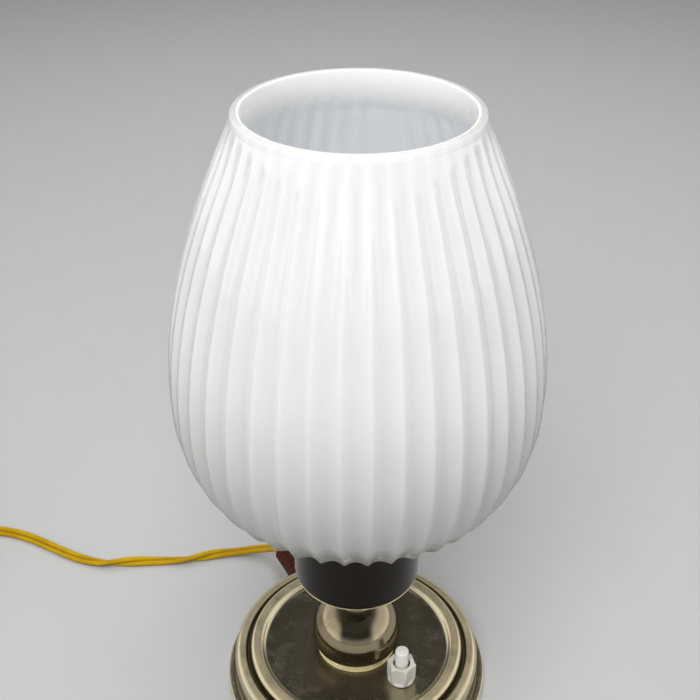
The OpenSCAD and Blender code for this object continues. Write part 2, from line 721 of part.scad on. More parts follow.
// The ring that screws down the lampholder and holds the glass on its seat
module shade_ring() {
    skirt_h = 3.0;
    skirt_w = 2.4;
    bore_r = holder_r + hole_clear;
    skirt_z = shade_ring_z + shade_ring_t;
    color("#26211e") {
        ring(bore_r, shade_ring_r, shade_ring_z, skirt_z);
        ring(bore_r, bore_r + skirt_w, skirt_z, skirt_z + skirt_h);
    }
}

module lampholder_cap() {
    dome_z = cap_z + cap_neck_h;
    dome_h = 9;
    dome_rise = 2;
    floor_t = 4;
    ledge_w = 1.6;
    boss_r = tube_r + 4;
    inner_r = holder_r - cap_wall;
    ledge_r = inner_r - ledge_w;
    color("#2a2421")
        rotate_extrude()
            polygon(concat(
                [[tube_hole_r, cap_z], [cap_neck_r, cap_z], [cap_neck_r, dome_z]],
                [for (t = [0.125:0.125:1])
                    bend([cap_neck_r, dome_z], [holder_r, dome_z + dome_rise],
                        [holder_r, dome_z + dome_h], t)],
                [[holder_r, cap_z + cap_h], [inner_r, cap_z + cap_h], [inner_r, insert_z - seat_gap],
                 [ledge_r, insert_z - seat_gap]],
                [for (t = [0:0.25:1])
                    bend([ledge_r, dome_z + dome_h - over], [ledge_r, dome_z + floor_t],
                        [boss_r, dome_z + floor_t], t)],
                [[tube_hole_r, dome_z + floor_t]]));
}

module lampholder_shell() {
    lip = 2.6;
    lip_slope = 1.5;
    bevel = 1;
    mouth_r = screw_r + 0.8;
    top_z = shell_z + holder_h;
    inner_r = holder_r - holder_wall;
    color("#2a2421")
        rotate_extrude()
            polygon([[inner_r, shell_z], [holder_r, shell_z], [holder_r, top_z - bevel],
                [holder_r - bevel, top_z], [mouth_r, top_z], [mouth_r, top_z - lip],
                [inner_r, top_z - lip - lip_slope]]);
}

// The porcelain block that carries the contacts
module lampholder_insert() {
    recess = recess_z - insert_z;
    rivet_r = 2.2;
    screw_gap = 1.4;
    color("#efe9dc")
        difference() {
            translate([0, 0, insert_z]) cylinder(r = insert_r, h = insert_t);
            for (d = [flex_dir, switch_dir])
                translate([terminal_r * d[0], terminal_r * d[1], insert_z - over])
                    cylinder(r = terminal_screw_r + screw_gap, h = recess + over);
            translate([0, 0, insert_z - over]) cylinder(r = rivet_r, h = recess + over);
        }
}

module screw_shell() {
    flange_w = 3.2;
    low_z = screw_z + seat_gap;
    color("#c9a24d") {
        ring(screw_r - screw_wall, screw_r, low_z, screw_z + screw_h);
        ring(screw_r - flange_w, screw_r - screw_wall, low_z, low_z + screw_wall);
    }
}

module centre_contact() {
    tongue_r = 3.2;
    bevel = 0.6;
    color("#c9a24d") {
        translate([0, 0, contact_z + seat_gap]) cylinder(r = tongue_r, h = contact_h - bevel);
        translate([0, 0, contact_z + contact_h - bevel])
            cylinder(r1 = tongue_r, r2 = tongue_r - bevel, h = bevel);
    }
}

// Two screws in the insert's recesses, one at each inner lead
module terminal_screws() {
    slot_w = 0.8;
    slot_d = 0.6;
    color("#c9a24d")
        for (d = [flex_dir, switch_dir])
            translate([terminal_r * d[0], terminal_r * d[1], recess_z - seat_gap - terminal_screw_h])
                difference() {
                    cylinder(r = terminal_screw_r, h = terminal_screw_h);
                    translate([-slot_w / 2, -terminal_screw_r, -over])
                        cube([slot_w, 2 * terminal_screw_r, slot_d + over]);
                }
}

// Outline of the bulb's glass, a ball that draws in to a neck
function bulb_line(shrink) =
    let (r = bulb_r - shrink, neck = bulb_neck_r - shrink, low = 38,
         x = r * cos(low), z = bulb_z - r * sin(low))
        concat(
            [[neck, bulb_z0], [neck, bulb_cap_z + bulb_cap_h]],
            [for (t = [0.1:0.1:0.9]) bend([neck, bulb_cap_z + bulb_cap_h],
                [neck, z - (x - neck) * tan(90 - low)], [x, z], t)],
            arc(0, bulb_z, r, -low, 90, 18));

module bulb_glass() {
    outside = bulb_line(0);
    inside = bulb_line(bulb_wall);
    color("#f4f2ea")
        rotate_extrude()
            polygon(concat(outside, [for (i = [len(inside) - 1:-1:0]) inside[i]]));
}

module bulb_cap() {
    color("#c4c4c2") ring(bulb_cap_r - bulb_cap_wall, bulb_cap_r, bulb_cap_z, bulb_cap_z + bulb_cap_h);
}

module bulb_base() {
    rim_w = 1.4;
    color("#1d1c1b")
        translate([0, 0, bulb_base_z])
            cylinder(r1 = bulb_tip_r + rim_w, r2 = bulb_cap_r - bulb_cap_wall, h = bulb_base_h);
}

module bulb_contact() {
    taper = 1.2;
    color("#c8b27a")
        translate([0, 0, bulb_tip_z]) cylinder(r1 = bulb_tip_r - taper, r2 = bulb_tip_r, h = bulb_tip_h);
}

module at_switch() {
    translate([switch_at[0], switch_at[1], 0]) children();
}

// The switch's housing, with its threaded neck in one piece
module switch_body() {
    color("#3a3430")
        at_switch()
            difference() {
                union() {
                    translate([0, 0, switch_room]) cylinder(r = switch_body_r, h = switch_top - switch_room);
                    translate([0, 0, switch_top - over])
                        cylinder(r = switch_neck_r, h = switch_neck_z - switch_top + over);
                }
                translate([0, 0, switch_room - over])
                    cylinder(r = switch_room_r, h = switch_ceiling - switch_room + over);
                translate([0, 0, switch_room]) cylinder(r = button_r + run_clear, h = switch_neck_z);
            }
}

module switch_base() {
    color("#3a3430")
        at_switch() translate([0, 0, switch_bottom]) cylinder(r = switch_body_r, h = switch_base_t);
}

// The cap nut: six flats with softened corners, bevelled at both ends, and a hole for the button
module switch_nut() {
    chamfer = 1.0;
    nut_turn = -15;
    corner_r = switch_nut_af / 2 + switch_nut_corner;
    color("#f2efe4")
        at_switch()
            translate([0, 0, switch_nut_z])
                difference() {
                    intersection() {
                        rotate([0, 0, nut_turn])
                            cylinder(r = switch_nut_af / sqrt(3), h = switch_nut_h, $fn = 6);
                        union() {
                            cylinder(r1 = corner_r - chamfer, r2 = corner_r, h = chamfer);
                            translate([0, 0, chamfer]) cylinder(r = corner_r, h = switch_nut_h - 2 * chamfer);
                            translate([0, 0, switch_nut_h - chamfer])
                                cylinder(r1 = corner_r, r2 = corner_r - chamfer, h = chamfer);
                        }
                    }
                    translate([0, 0, -over])
                        cylinder(r = switch_neck_r + hole_clear, h = switch_nut_h - switch_nut_top + over);
                    cylinder(r = switch_nut_hole_r, h = switch_nut_h + over);
                }
}

module switch_button() {
    stub_gap = 1.0;
    stub_h = flange_z - switch_room - button_travel - stub_gap;
    stub_r = spring_r - 2 * spring_wire_r - 0.1;
    color("#f6f3e9")
        at_switch()
            rotate_extrude()
                polygon(concat(
                    [[0, flange_z - stub_h], [stub_r, flange_z - stub_h], [stub_r, flange_z],
                     [flange_r, flange_z], [flange_r, flange_z + flange_t], [button_r, flange_z + flange_t]],
                    [for (t = [0:0.2:1]) bend([button_r, button_z - button_dome],
                        [button_r, button_z], [0, button_z], t)]));
}

// The return spring, one wire that winds up from the base to the button's flange
module switch_spring() {
    rings_turn = 12;
    low = spring_z0 + spring_wire_r;
    high = spring_z1 - spring_wire_r;
    path = [for (i = [0:spring_turns * rings_turn])
        let (a = 360 * i / rings_turn, t = i / (spring_turns * rings_turn))
            [spring_r * cos(a), spring_r * sin(a), low + (high - low) * t, 0]];
    color("#9a9a98") at_switch() flat_tube(path, spring_wire_r, spring_wire_r, 6);
}

// Two brass tongues under the switch's base, one at each lead
module switch_terminals() {
    width = 4.4;
    under = 2.4;
    inner_end = switch_body_r - under;
    color("#c9a24d")
        at_switch()
            for (a = [switched_turn, live_turn])
                rotate([0, 0, -90 + switch_turn + a])
                    translate([inner_end, -width / 2, switch_bottom - seat_gap - tongue_t])
                        cube([switch_body_r + tongue_out - inner_end, width, tongue_t]);
}

// The tapered strain relief, with a flange behind the base's wall
module cord_sleeve() {
    lap = 0.5;
    color("#6b2a1c")
        difference() {
            union() {
                along_flex(sleeve_in - sleeve_flange_t) cylinder(r = sleeve_flange_r, h = sleeve_flange_t);
                along_flex(sleeve_in - lap) cylinder(r = sleeve_neck_r, h = sleeve_out - sleeve_in + 2 * lap);
                along_flex(sleeve_out) cylinder(r1 = sleeve_r1, r2 = sleeve_r2, h = sleeve_len);
            }
            along_flex(sleeve_in - sleeve_flange_t - over)
                linear_extrude(height = sleeve_tip - sleeve_in + sleeve_flange_t + 2 * over)
                    flex_slot(loose_gap);
        }
}

// Inner leads: the path under the stem and up the tube, in the upright plane of a direction
lead_low = felt_t + bottom_plate_t + 2 * seat_gap + lead_r + loose_gap;
tube_path_r = 1.35;
lead_top = recess_z - seat_gap - terminal_screw_h - loose_gap;
function up_tube(d) = [for (p = [
        [5.4, lead_low], [2.7, lead_low + 0.4], [tube_path_r + 0.1, tube_z0 + 0.6],
        [tube_path_r, tube_z0 + 4], [tube_path_r, cup_z], [tube_path_r, tube_z1 - 1],
        [tube_path_r + 0.7, tube_z1 + 2], [terminal_r - 4, insert_z - 2.2],
        [terminal_r - 0.8, insert_z - 1.4], [terminal_r, insert_z + 0.6], [terminal_r, lead_top]])
    [p[0] * d[0], p[0] * d[1], p[1]]];
function level(d, r, z, aside = 0) = [r * d[0] - aside * d[1], r * d[1] + aside * d[0], z];

module live_lead() {
    strand = flex_w / 4;
    from_r = flex_start - seat_gap;
    reach = switch_body_r + tongue_out + loose_gap;
    live_dir = -90 + switch_turn + live_turn;
    live_end = [switch_at[0] + reach * cos(live_dir), switch_at[1] + reach * sin(live_dir), lead_low];
    path = [level(flex_dir, from_r, flex_z, strand), level(flex_dir, from_r - 4, flex_z, strand),
        level(flex_dir, from_r - 10, flex_z - 2.4, strand + 3), level(flex_dir, from_r - 18, lead_low, 11),
        level(flex_dir, 20, lead_low, 17), level(flex_dir, 0, lead_low, 19),
        level(flex_dir, -16, lead_low, 19), live_end];
    color("#8a5a2b") lead(path, [0, 0, 1]);
}

module switched_lead() {
    from_r = switch_r - switch_body_r - tongue_out - loose_gap;
    path = concat([for (r = [from_r, from_r - 6, 9]) level(switch_dir, r, lead_low)], up_tube(switch_dir));
    color("#2f2a26") lead(path, [-switch_dir[1], switch_dir[0], 0]);
}

module neutral_lead() {
    strand = -flex_w / 4;
    from_r = flex_start - seat_gap;
    path = concat([level(flex_dir, from_r, flex_z, strand), level(flex_dir, from_r - 4, flex_z, strand),
        level(flex_dir, from_r - 12, flex_z - 2.6, strand),
        level(flex_dir, from_r - 22, lead_low, strand / 2), level(flex_dir, 10, lead_low, 0)],
        up_tube(flex_dir));
    color("#3f5f8a") lead(path, [-flex_dir[1], flex_dir[0], 0]);
}

module mains_cord() {
    color("#d9a516") flat_tube(route, flex_w / 2, flex_t / 2, 10);
}

module cord_coil() {
    color("#d9a516") flat_tube(coil_path, flex_w / 2, flex_t / 2, 6);
}

// A flat tie round the coil's turns
module cord_tie() {
    turn = coil_from + 150;
    room = 0.45;
    low_r = coil_in - coil_pitch * 0.25 - flex_t / 2 - room;
    high_r = coil_out + flex_t / 2 + room;
    low_z = coil_z1 - flex_w / 2 - hole_clear;
    high_z = coil_z2 + flex_w / 2 + room;
    color("#e8e4d8")
        translate([coil_at[0], coil_at[1], 0])
            rotate([0, 0, turn])
                translate([0, tie_w / 2, 0])
                    rotate([90, 0, 0])
                        linear_extrude(height = tie_w)
                            difference() {
                                translate([low_r - tie_t, low_z - tie_t])
                                    square([high_r - low_r + 2 * tie_t, high_z - low_z + 2 * tie_t]);
                                translate([low_r, low_z]) square([high_r - low_r, high_z - low_z]);
                            }
}

// Places children at the end of the coil, with X along the plug
module at_plug() {
    translate(plug_at) rotate([0, 0, plug_turn]) children();
}

module plug_body() {
    color("#e9e2cf")
        at_plug()
            difference() {
                union() {
                    rotate([0, 90, 0]) cylinder(r1 = tail_r, r2 = tail_r + tail_flare, h = plug_tail);
                    translate([plug_tail - over, 0, -plug_half_t])
                        linear_extrude(height = 2 * plug_half_t)
                            polygon(concat(
                                [[0, -plug_nose]],
                                arc(plug_len - plug_round, plug_round - plug_w / 2, plug_round, -90, 0, 5),
                                arc(plug_len - plug_round, plug_w / 2 - plug_round, plug_round, 0, 90, 5),
                                [[0, plug_nose]]));
                }
                for (s = [-1, 1])
                    translate([plug_tail + plug_len - over - pin_set, s * pin_pitch / 2, 0])
                        rotate([0, 90, 0]) cylinder(r = pin_r + hole_clear, h = pin_set + over);
            }
}

// Two round pins with rounded ends
module plug_pins() {
    shank = pin_set - hole_clear + pin_len - pin_tip;
    color("#cfcdc6")
        at_plug()
            for (s = [-1, 1])
                translate([plug_tail + plug_len - over - pin_set + hole_clear, s * pin_pitch / 2, 0])
                    rotate([0, 90, 0]) {
                        cylinder(r = pin_r, h = shank);
                        translate([0, 0, shank]) cylinder(r1 = pin_r, r2 = pin_tip_r, h = pin_tip);
                    }
}

base_shell();
base_weight();
bottom_plate();
felt_pad();
stem_tube();
stem_nut();
stem_washer();
stem_collar();
stem_knob();
stem_neck();
shade_cup();
cup_locknut();
cup_gasket();
glass_shade();
shade_ring();
lampholder_cap();
lampholder_shell();
lampholder_insert();
screw_shell();
centre_contact();
terminal_screws();
bulb_glass();
bulb_cap();
bulb_base();
bulb_contact();
switch_body();
switch_base();
switch_nut();
switch_button();
switch_spring();
switch_terminals();
cord_sleeve();
live_lead();
switched_lead();
neutral_lead();
mains_cord();
cord_coil();
cord_tie();
plug_body();
plug_pins();
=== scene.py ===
"""Table lamp with a pleated opal glass shade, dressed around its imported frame."""

import logging
import math
from dataclasses import dataclass, field
from enum import Enum
from functools import cache
from typing import Any, Callable, Sequence

import bmesh
import bpy
from mathutils import Matrix, Vector


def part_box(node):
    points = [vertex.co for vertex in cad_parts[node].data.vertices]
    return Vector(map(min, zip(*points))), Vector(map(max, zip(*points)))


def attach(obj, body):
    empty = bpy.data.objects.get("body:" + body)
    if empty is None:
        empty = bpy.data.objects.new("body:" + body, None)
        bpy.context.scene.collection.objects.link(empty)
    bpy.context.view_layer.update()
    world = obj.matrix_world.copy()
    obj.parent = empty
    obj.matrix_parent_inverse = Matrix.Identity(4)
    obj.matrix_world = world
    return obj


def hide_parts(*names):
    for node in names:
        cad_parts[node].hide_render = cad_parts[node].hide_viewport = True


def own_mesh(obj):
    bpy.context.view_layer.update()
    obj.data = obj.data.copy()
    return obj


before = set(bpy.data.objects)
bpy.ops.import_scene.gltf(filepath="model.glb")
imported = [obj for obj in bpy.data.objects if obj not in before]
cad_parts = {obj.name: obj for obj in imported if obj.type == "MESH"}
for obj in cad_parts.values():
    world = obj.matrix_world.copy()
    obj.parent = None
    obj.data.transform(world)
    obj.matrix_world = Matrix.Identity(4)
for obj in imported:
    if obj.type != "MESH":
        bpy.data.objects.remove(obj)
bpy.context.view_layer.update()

MM = 0.001
# Where most of a cloudy value lies, between 0 and 1
MIDDLE = (0.3, 0.7)
Point = tuple[float, float]
Vec = tuple[float, float, float]
Ring = list[Vec]
Colour = tuple[float, float, float]
Mark = Callable[[float, float], float]
Thing = bpy.types.Object
Node = bpy.types.Node
Socket = bpy.types.NodeSocket
Tree = bpy.types.NodeTree

log = logging.getLogger("table_lamp")


class Body(Enum):
    """Bodies of the frame that a piece can ride on."""

    LAMP = "lamp"
    BUTTON = "button"


class Slot(Enum):
    """Material slots of the record, which place() is given for each new piece but does not use."""

    PLATED = "plated_metal"
    BRASS = "brass"
    STEEL = "steel"
    RUBBER = "rubber"
    SLEEVE = "sleeve_rubber"
    OPAL = "opal_glass"
    BULB_GLASS = "bulb_glass"
    BULB_METAL = "bulb_metal"
    BAKELITE = "bakelite"
    WHITE = "white_plastic"
    FLEX = "flex_yellow"
    TIE = "tie_plastic"
    PLUG = "plug_plastic"
    PINS = "plug_metal"


# Outlines


def unit(v: Point) -> Point:
    """The direction of a flat vector."""
    size = math.hypot(v[0], v[1])
    return (v[0] / size, v[1] / size)


def smooth(t: float) -> float:
    """A soft step from 0 to 1."""
    s = max(0.0, min(1.0, t))
    return s * s * (3 - 2 * s)


def arc(x: float, z: float, r: float, start: float, end: float, steps: int = 12) -> list[Point]:
    """Points of an arc.

    Args:
        x: Centre, outwards from the axis.
        z: Centre, upwards.
        r: Radius.
        start: First angle in degrees, 0 pointing outwards and 90 up.
        end: Last angle in degrees.
        steps: Number of steps between them.

    Returns:
        The points from start to end.
    """
    turns = [math.radians(start + (end - start) * i / steps) for i in range(steps + 1)]
    return [(x + r * math.cos(a), z + r * math.sin(a)) for a in turns]


def bend_at(a: Point, b: Point, c: Point, t: float) -> Point:
    """The point at t of a curve from a to c that is drawn towards b."""
    k0, k1, k2 = (1 - t) * (1 - t), 2 * t * (1 - t), t * t
    return (k0 * a[0] + k1 * b[0] + k2 * c[0], k0 * a[1] + k1 * b[1] + k2 * c[1])


def bend_dir(a: Point, b: Point, c: Point, t: float) -> Point:
    """The heading at t of a curve from a to c that is drawn towards b.

    Args:
        a: Start of the curve.
        b: Point that it is drawn towards.
        c: End of the curve.
        t: Place on it, from 0 to 1.

    Returns:
        The heading, of length 1.
    """
    x = (1 - t) * (b[0] - a[0]) + t * (c[0] - b[0])
    z = (1 - t) * (b[1] - a[1]) + t * (c[1] - b[1])
    return unit((x, z))


def bend(a: Point, b: Point, c: Point, steps: int = 6) -> list[Point]:
    """Points of a curve from a to c that is drawn towards b."""
    return [bend_at(a, b, c, i / steps) for i in range(steps + 1)]


def rounded(corners: Sequence[Vec], steps: int = 5) -> list[Point]:
    """A closed outline with rounded corners.

    Args:
        corners: For each corner its place and how far back from it the rounding starts.
        steps: Number of steps in each rounding.

    Returns:
        The points of the outline, in order.
    """
    out: list[Point] = []
    for i, (x, z, cut) in enumerate(corners):
        if cut <= 0:
            out.append((x, z))
            continue
        before, after = corners[i - 1], corners[(i + 1) % len(corners)]
        u = unit((before[0] - x, before[1] - z))
        v = unit((after[0] - x, after[1] - z))
        start, end = (x + u[0] * cut, z + u[1] * cut), (x + v[0] * cut, z + v[1] * cut)
        out += bend(start, (x, z), end, steps)
    return out


def round_box(low: Point, high: Point, cut: float, steps: int) -> list[Point]:
    """The outline of a box with rounded corners."""
    corners = (low, (high[0], low[1]), high, (low[0], high[1]))
    return rounded([(x, z, cut) for x, z in corners], steps)


# Meshes


def linked(name: str, data: Any) -> Thing:
    """A new object in the scene, for a mesh, a camera or a light.

    Args:
        name: Name of the object.
        data: The mesh, camera or light.

    Returns:
        The new object.
    """
    thing = bpy.data.objects.new(name, data)
    bpy.context.scene.collection.objects.link(thing)
    return thing


@dataclass
class Shape:
    """Points in millimetres, the faces that join them, and named marks from 0 to 1 on the points."""

    points: list[Vec]
    faces: list[tuple[int, ...]]
    marks: dict[str, list[float]] = field(default_factory=dict)

    def moved(self, matrix: Matrix) -> "Shape":
        """The shape in another place."""
        return Shape([tuple(matrix @ Vector(p)) for p in self.points], self.faces, self.marks)

    def joined(self, other: "Shape") -> "Shape":
        """This shape and another as one, without their marks.

        Args:
            other: The shape that is added.

        Returns:
            The joined shape.
        """
        start = len(self.points)
        faces = [tuple(i + start for i in face) for face in other.faces]
        return Shape(self.points + other.points, self.faces + faces)

    def made(self, name: str, crease: float = 38.0) -> Thing:
        """Makes the mesh object, in metres.

        Args:
            name: Name of the piece.
            crease: Angle in degrees above which an edge stays sharp.

        Returns:
            The new object.
        """
        mesh = bpy.data.meshes.new(name)
        mesh.from_pydata([(x * MM, y * MM, z * MM) for x, y, z in self.points], [], self.faces)
        grid = bmesh.new()
        grid.from_mesh(mesh)
        bmesh.ops.recalc_face_normals(grid, faces=grid.faces)
        grid.to_mesh(mesh)
        grid.free()
        mesh.shade_smooth()
        mesh.set_sharp_from_angle(angle=math.radians(crease))
        for key, values in self.marks.items():
            mesh.attributes.new(key, "FLOAT", "POINT").data.foreach_set("value", values)
        return linked(name, mesh)


def skin(rings: Sequence[Ring], loop: bool = False) -> Shape:
    """Joins rings of points into a closed surface.

    Args:
        rings: Rings of equal length. The first and last may be a single point, which closes the end.
        loop: Whether the last ring joins the first, as round a tube's wall.

    Returns:
        The closed shape. Open ends are capped.
    """
    points: list[Vec] = []
    starts: list[int] = []
    for ring in rings:
        starts.append(len(points))
        points += ring
    faces: list[tuple[int, ...]] = []
    pairs = len(rings) if loop else len(rings) - 1
    for i in range(pairs):
        j = (i + 1) % len(rings)
        a, b, n, m = starts[i], starts[j], len(rings[i]), len(rings[j])
        count = max(n, m)
        for k in range(count):
            q = (k + 1) % count
            if n == 1:
                faces.append((a, b + q, b + k))
            elif m == 1:
                faces.append((a + k, a + q, b))
            else:
                faces.append((a + k, a + q, b + q, b + k))
    if not loop:
        for start, ring in ((starts[0], rings[0]), (starts[-1], rings[-1])):
            if len(ring) > 2:
                faces.append(tuple(range(start, start + len(ring))))
    return Shape(points, faces)


def circle(r: float, z: float, count: int) -> Ring:
    """A level ring of points about the upright axis."""
    turns = [2 * math.pi * k / count for k in range(count)]
    return [(r * math.cos(a), r * math.sin(a), z) for a in turns]


def lathe(line: Sequence[Point], columns: int = 160, **marks: Mark) -> Shape:
    """Turns an outline about the upright axis.

    Args:
        line: Radius and height of each point. An outline that starts and ends on the axis makes a solid of
            it, and any other is a closed loop.
        columns: Number of points round the axis.
        **marks: For each named mark, its value at a radius and height.

    Returns:
        The turned shape.
    """
    tiny = 1e-6
    loop = line[0][0] > tiny or line[-1][0] > tiny
    rings = [[(0.0, 0.0, z)] if r < tiny else circle(r, z, columns) for r, z in line]
    shape = skin(rings, loop)
    for key, mark in marks.items():
        shape.marks[key] = [mark(math.hypot(x, y), z) for x, y, z in shape.points]
    return shape


def smooth_path(points: Sequence[Sequence[float]], steps: int) -> list[tuple[float, ...]]:
    """A smooth line through points of any number of values.

    Args:
        points: The points that the line goes through.
        steps: Number of steps between two of them.

    Returns:
        The points of the line.
    """
    out: list[tuple[float, ...]] = []
    last = len(points) - 1
    for i in range(last):
        p0, p1, p2, p3 = (points[max(0, min(last, j))] for j in (i - 1, i, i + 1, i + 2))
        for k in range(steps):
            t = k / steps
            weights = (
                (-t + 2 * t * t - t ** 3) / 2,
                (2 - 5 * t * t + 3 * t ** 3) / 2,
                (t + 4 * t * t - 3 * t ** 3) / 2,
                (-t * t + t ** 3) / 2,
            )
            group = zip(p0, p1, p2, p3)
            out.append(tuple(sum(w * v for w, v in zip(weights, values)) for values in group))
    out.append(tuple(points[-1]))
    return out


def sweep(path: Sequence[Sequence[float]], section: Sequence[Point]) -> Shape:
    """Draws a section along a path, with its flat side kept level apart from the path's roll.

    Args:
        path: For each point x, y, z and the roll in degrees.
        section: The outline that is drawn along, across and up.

    Returns:
        The swept shape, with capped ends.
    """
    up_axis = Vector((0, 0, 1))
    spots = [Vector(p[:3]) for p in path]
    rings: list[Ring] = []
    for i, spot in enumerate(spots):
        ahead = (spots[min(i + 1, len(spots) - 1)] - spots[max(i - 1, 0)]).normalized()
        across = ahead.cross(up_axis).normalized()
        up = across.cross(ahead)
        roll = math.radians(path[i][3])
        c, s = math.cos(roll), math.sin(roll)
        ring = [spot + (u * c - v * s) * across + (u * s + v * c) * up for u, v in section]
        rings.append([tuple(p) for p in ring])
    return skin(rings)


def place(
    piece: Thing, finish: "Finish", slot: Slot, *nodes: str, body: Body = Body.LAMP
) -> Thing:
    """Dresses a new piece and puts it on its body.

    Args:
        piece: The new object.
        finish: Its finish.
        slot: Not used.
        *nodes: Names of the CAD nodes that it stands for.
        body: The body that it moves with.

    Returns:
        The same object.
    """
    piece.data.materials.append(finish.made())
    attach(piece, body.value)
    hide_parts(*nodes)
    log.info("piece %s: %d faces, for %s", piece.name, len(piece.data.polygons), ", ".join(nodes))
    return piece


def dress_nodes(finish: "Finish", *names: str) -> None:
    """Gives CAD nodes that stay their finish.

    Args:
        finish: The finish.
        *names: Names of the nodes.
    """
    material = finish.made()
    for name in names:
        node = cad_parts[name]
        if not node.material_slots:
            node.data.materials.append(material)
        for slot in node.material_slots:
            slot.material = material
        log.info("node %s: %s", name, material.name)


# Node trees


class Graph:
    """Short calls that add and join the nodes of one tree."""

    def __init__(self, tree: Tree) -> None:
        """Keeps the tree that the nodes go into."""
        self.tree = tree

    def feed(self, socket: Socket, value: Any) -> None:
        """Joins a socket to another, or sets it to a plain value.

        Args:
            socket: The socket that takes the value.
            value: A socket or a plain value.
        """
        if isinstance(value, Socket):
            self.tree.links.new(value, socket)
        else:
            socket.default_value = (*value, 1.0) if socket.type == "RGBA" else value

    def fill(self, node: Node, inputs: dict[Any, Any]) -> Node:
        """Joins or sets several inputs of a node.

        Args:
            node: The node.
            inputs: Values or sockets for its inputs.

        Returns:
            The same node.
        """
        for key, value in inputs.items():
            self.feed(node.inputs[key], value)
        return node

    def add(self, kind: str, inputs: dict[Any, Any] | None = None, **settings: Any) -> Node:
        """Adds a node.

        Args:
            kind: Blender's name for the node.
            inputs: Values or sockets for its inputs.
            **settings: Values of the node's own settings.

        Returns:
            The new node.
        """
        node = self.tree.nodes.new(kind)
        for key, value in settings.items():
            setattr(node, key, value)
        return self.fill(node, inputs or {})

    def math(self, operation: str, a: Any, b: Any = 0.0, clamp: bool = False) -> Socket:
        """The result of a sum with one or two values."""
        return self.add("ShaderNodeMath", {0: a, 1: b}, operation=operation, use_clamp=clamp).outputs[0]

    def times(self, a: Any, b: Any, clamp: bool = False) -> Socket:
        """The product of two values."""
        return self.math("MULTIPLY", a, b, clamp)

    def total(self, *values: Any, clamp: bool = False) -> Socket:
        """The sum of two or more values.

        Args:
            *values: Values or sockets.
            clamp: Whether the sum is held between 0 and 1.

        Returns:
            The sum.
        """
        start, *others, last = values
        for value in others:
            start = self.math("ADD", start, value)
        return self.math("ADD", start, last, clamp)

    def mix(self, share: Any, a: Any, b: Any) -> Socket:
        """A colour between two others."""
        return self.add("ShaderNodeMix", {0: share, 6: a, 7: b}, data_type="RGBA").outputs[2]

    def coated(self, tone: Any, *coats: tuple[Any, Any]) -> Socket:
        """A colour under several coats.

        Args:
            tone: The colour.
            *coats: The share and the colour of each coat, from the lowest.

        Returns:
            The colour that shows.
        """
        for share, coat in coats:
            tone = self.mix(share, tone, coat)
        return tone

    def span(self, value: Any, low: float, high: float, out_low: float = 0.0, out_high: float = 1.0) -> Any:
        """A value stretched from one span to another, with soft ends."""
        inputs = {"Value": value, "From Min": low, "From Max": high, "To Min": out_low, "To Max": out_high}
        return self.add("ShaderNodeMapRange", inputs, interpolation_type="SMOOTHSTEP").outputs[0]

    def place(self) -> Socket:
        """The place on the piece, in metres."""
        return self.add("ShaderNodeTexCoord").outputs["Object"]

    def axes(self, vector: Any) -> tuple[Any, Any, Any]:
        """The three parts of a vector."""
        return tuple(self.add("ShaderNodeSeparateXYZ", {"Vector": vector}).outputs)

    def mark(self, name: str) -> Socket:
        """A mark of the mesh, or 0 where it has none."""
        return self.add("ShaderNodeAttribute", attribute_name=name).outputs["Fac"]

    def noise(self, where: Any, scale: Any, detail: float = 3.0, rough: float = 0.55) -> Socket:
        """A cloudy value from 0 to 1."""
        inputs = {"Vector": where, "Scale": scale, "Detail": detail, "Roughness": rough}
        return self.add("ShaderNodeTexNoise", inputs).outputs["Fac"]

    def effect(self, tree: Tree, **values: float) -> bpy.types.NodeOutputs:
        """Places a shared effect and returns its outputs."""
        return self.add("ShaderNodeGroup", values, node_tree=tree).outputs

    def bump(self, height: Any, distance: float = MM) -> Socket:
        """A normal raised by a height, of which 1 stands for a distance in metres."""
        inputs = {"Height": height, "Strength": 1.0, "Distance": distance}
        return self.add("ShaderNodeBump", inputs).outputs["Normal"]


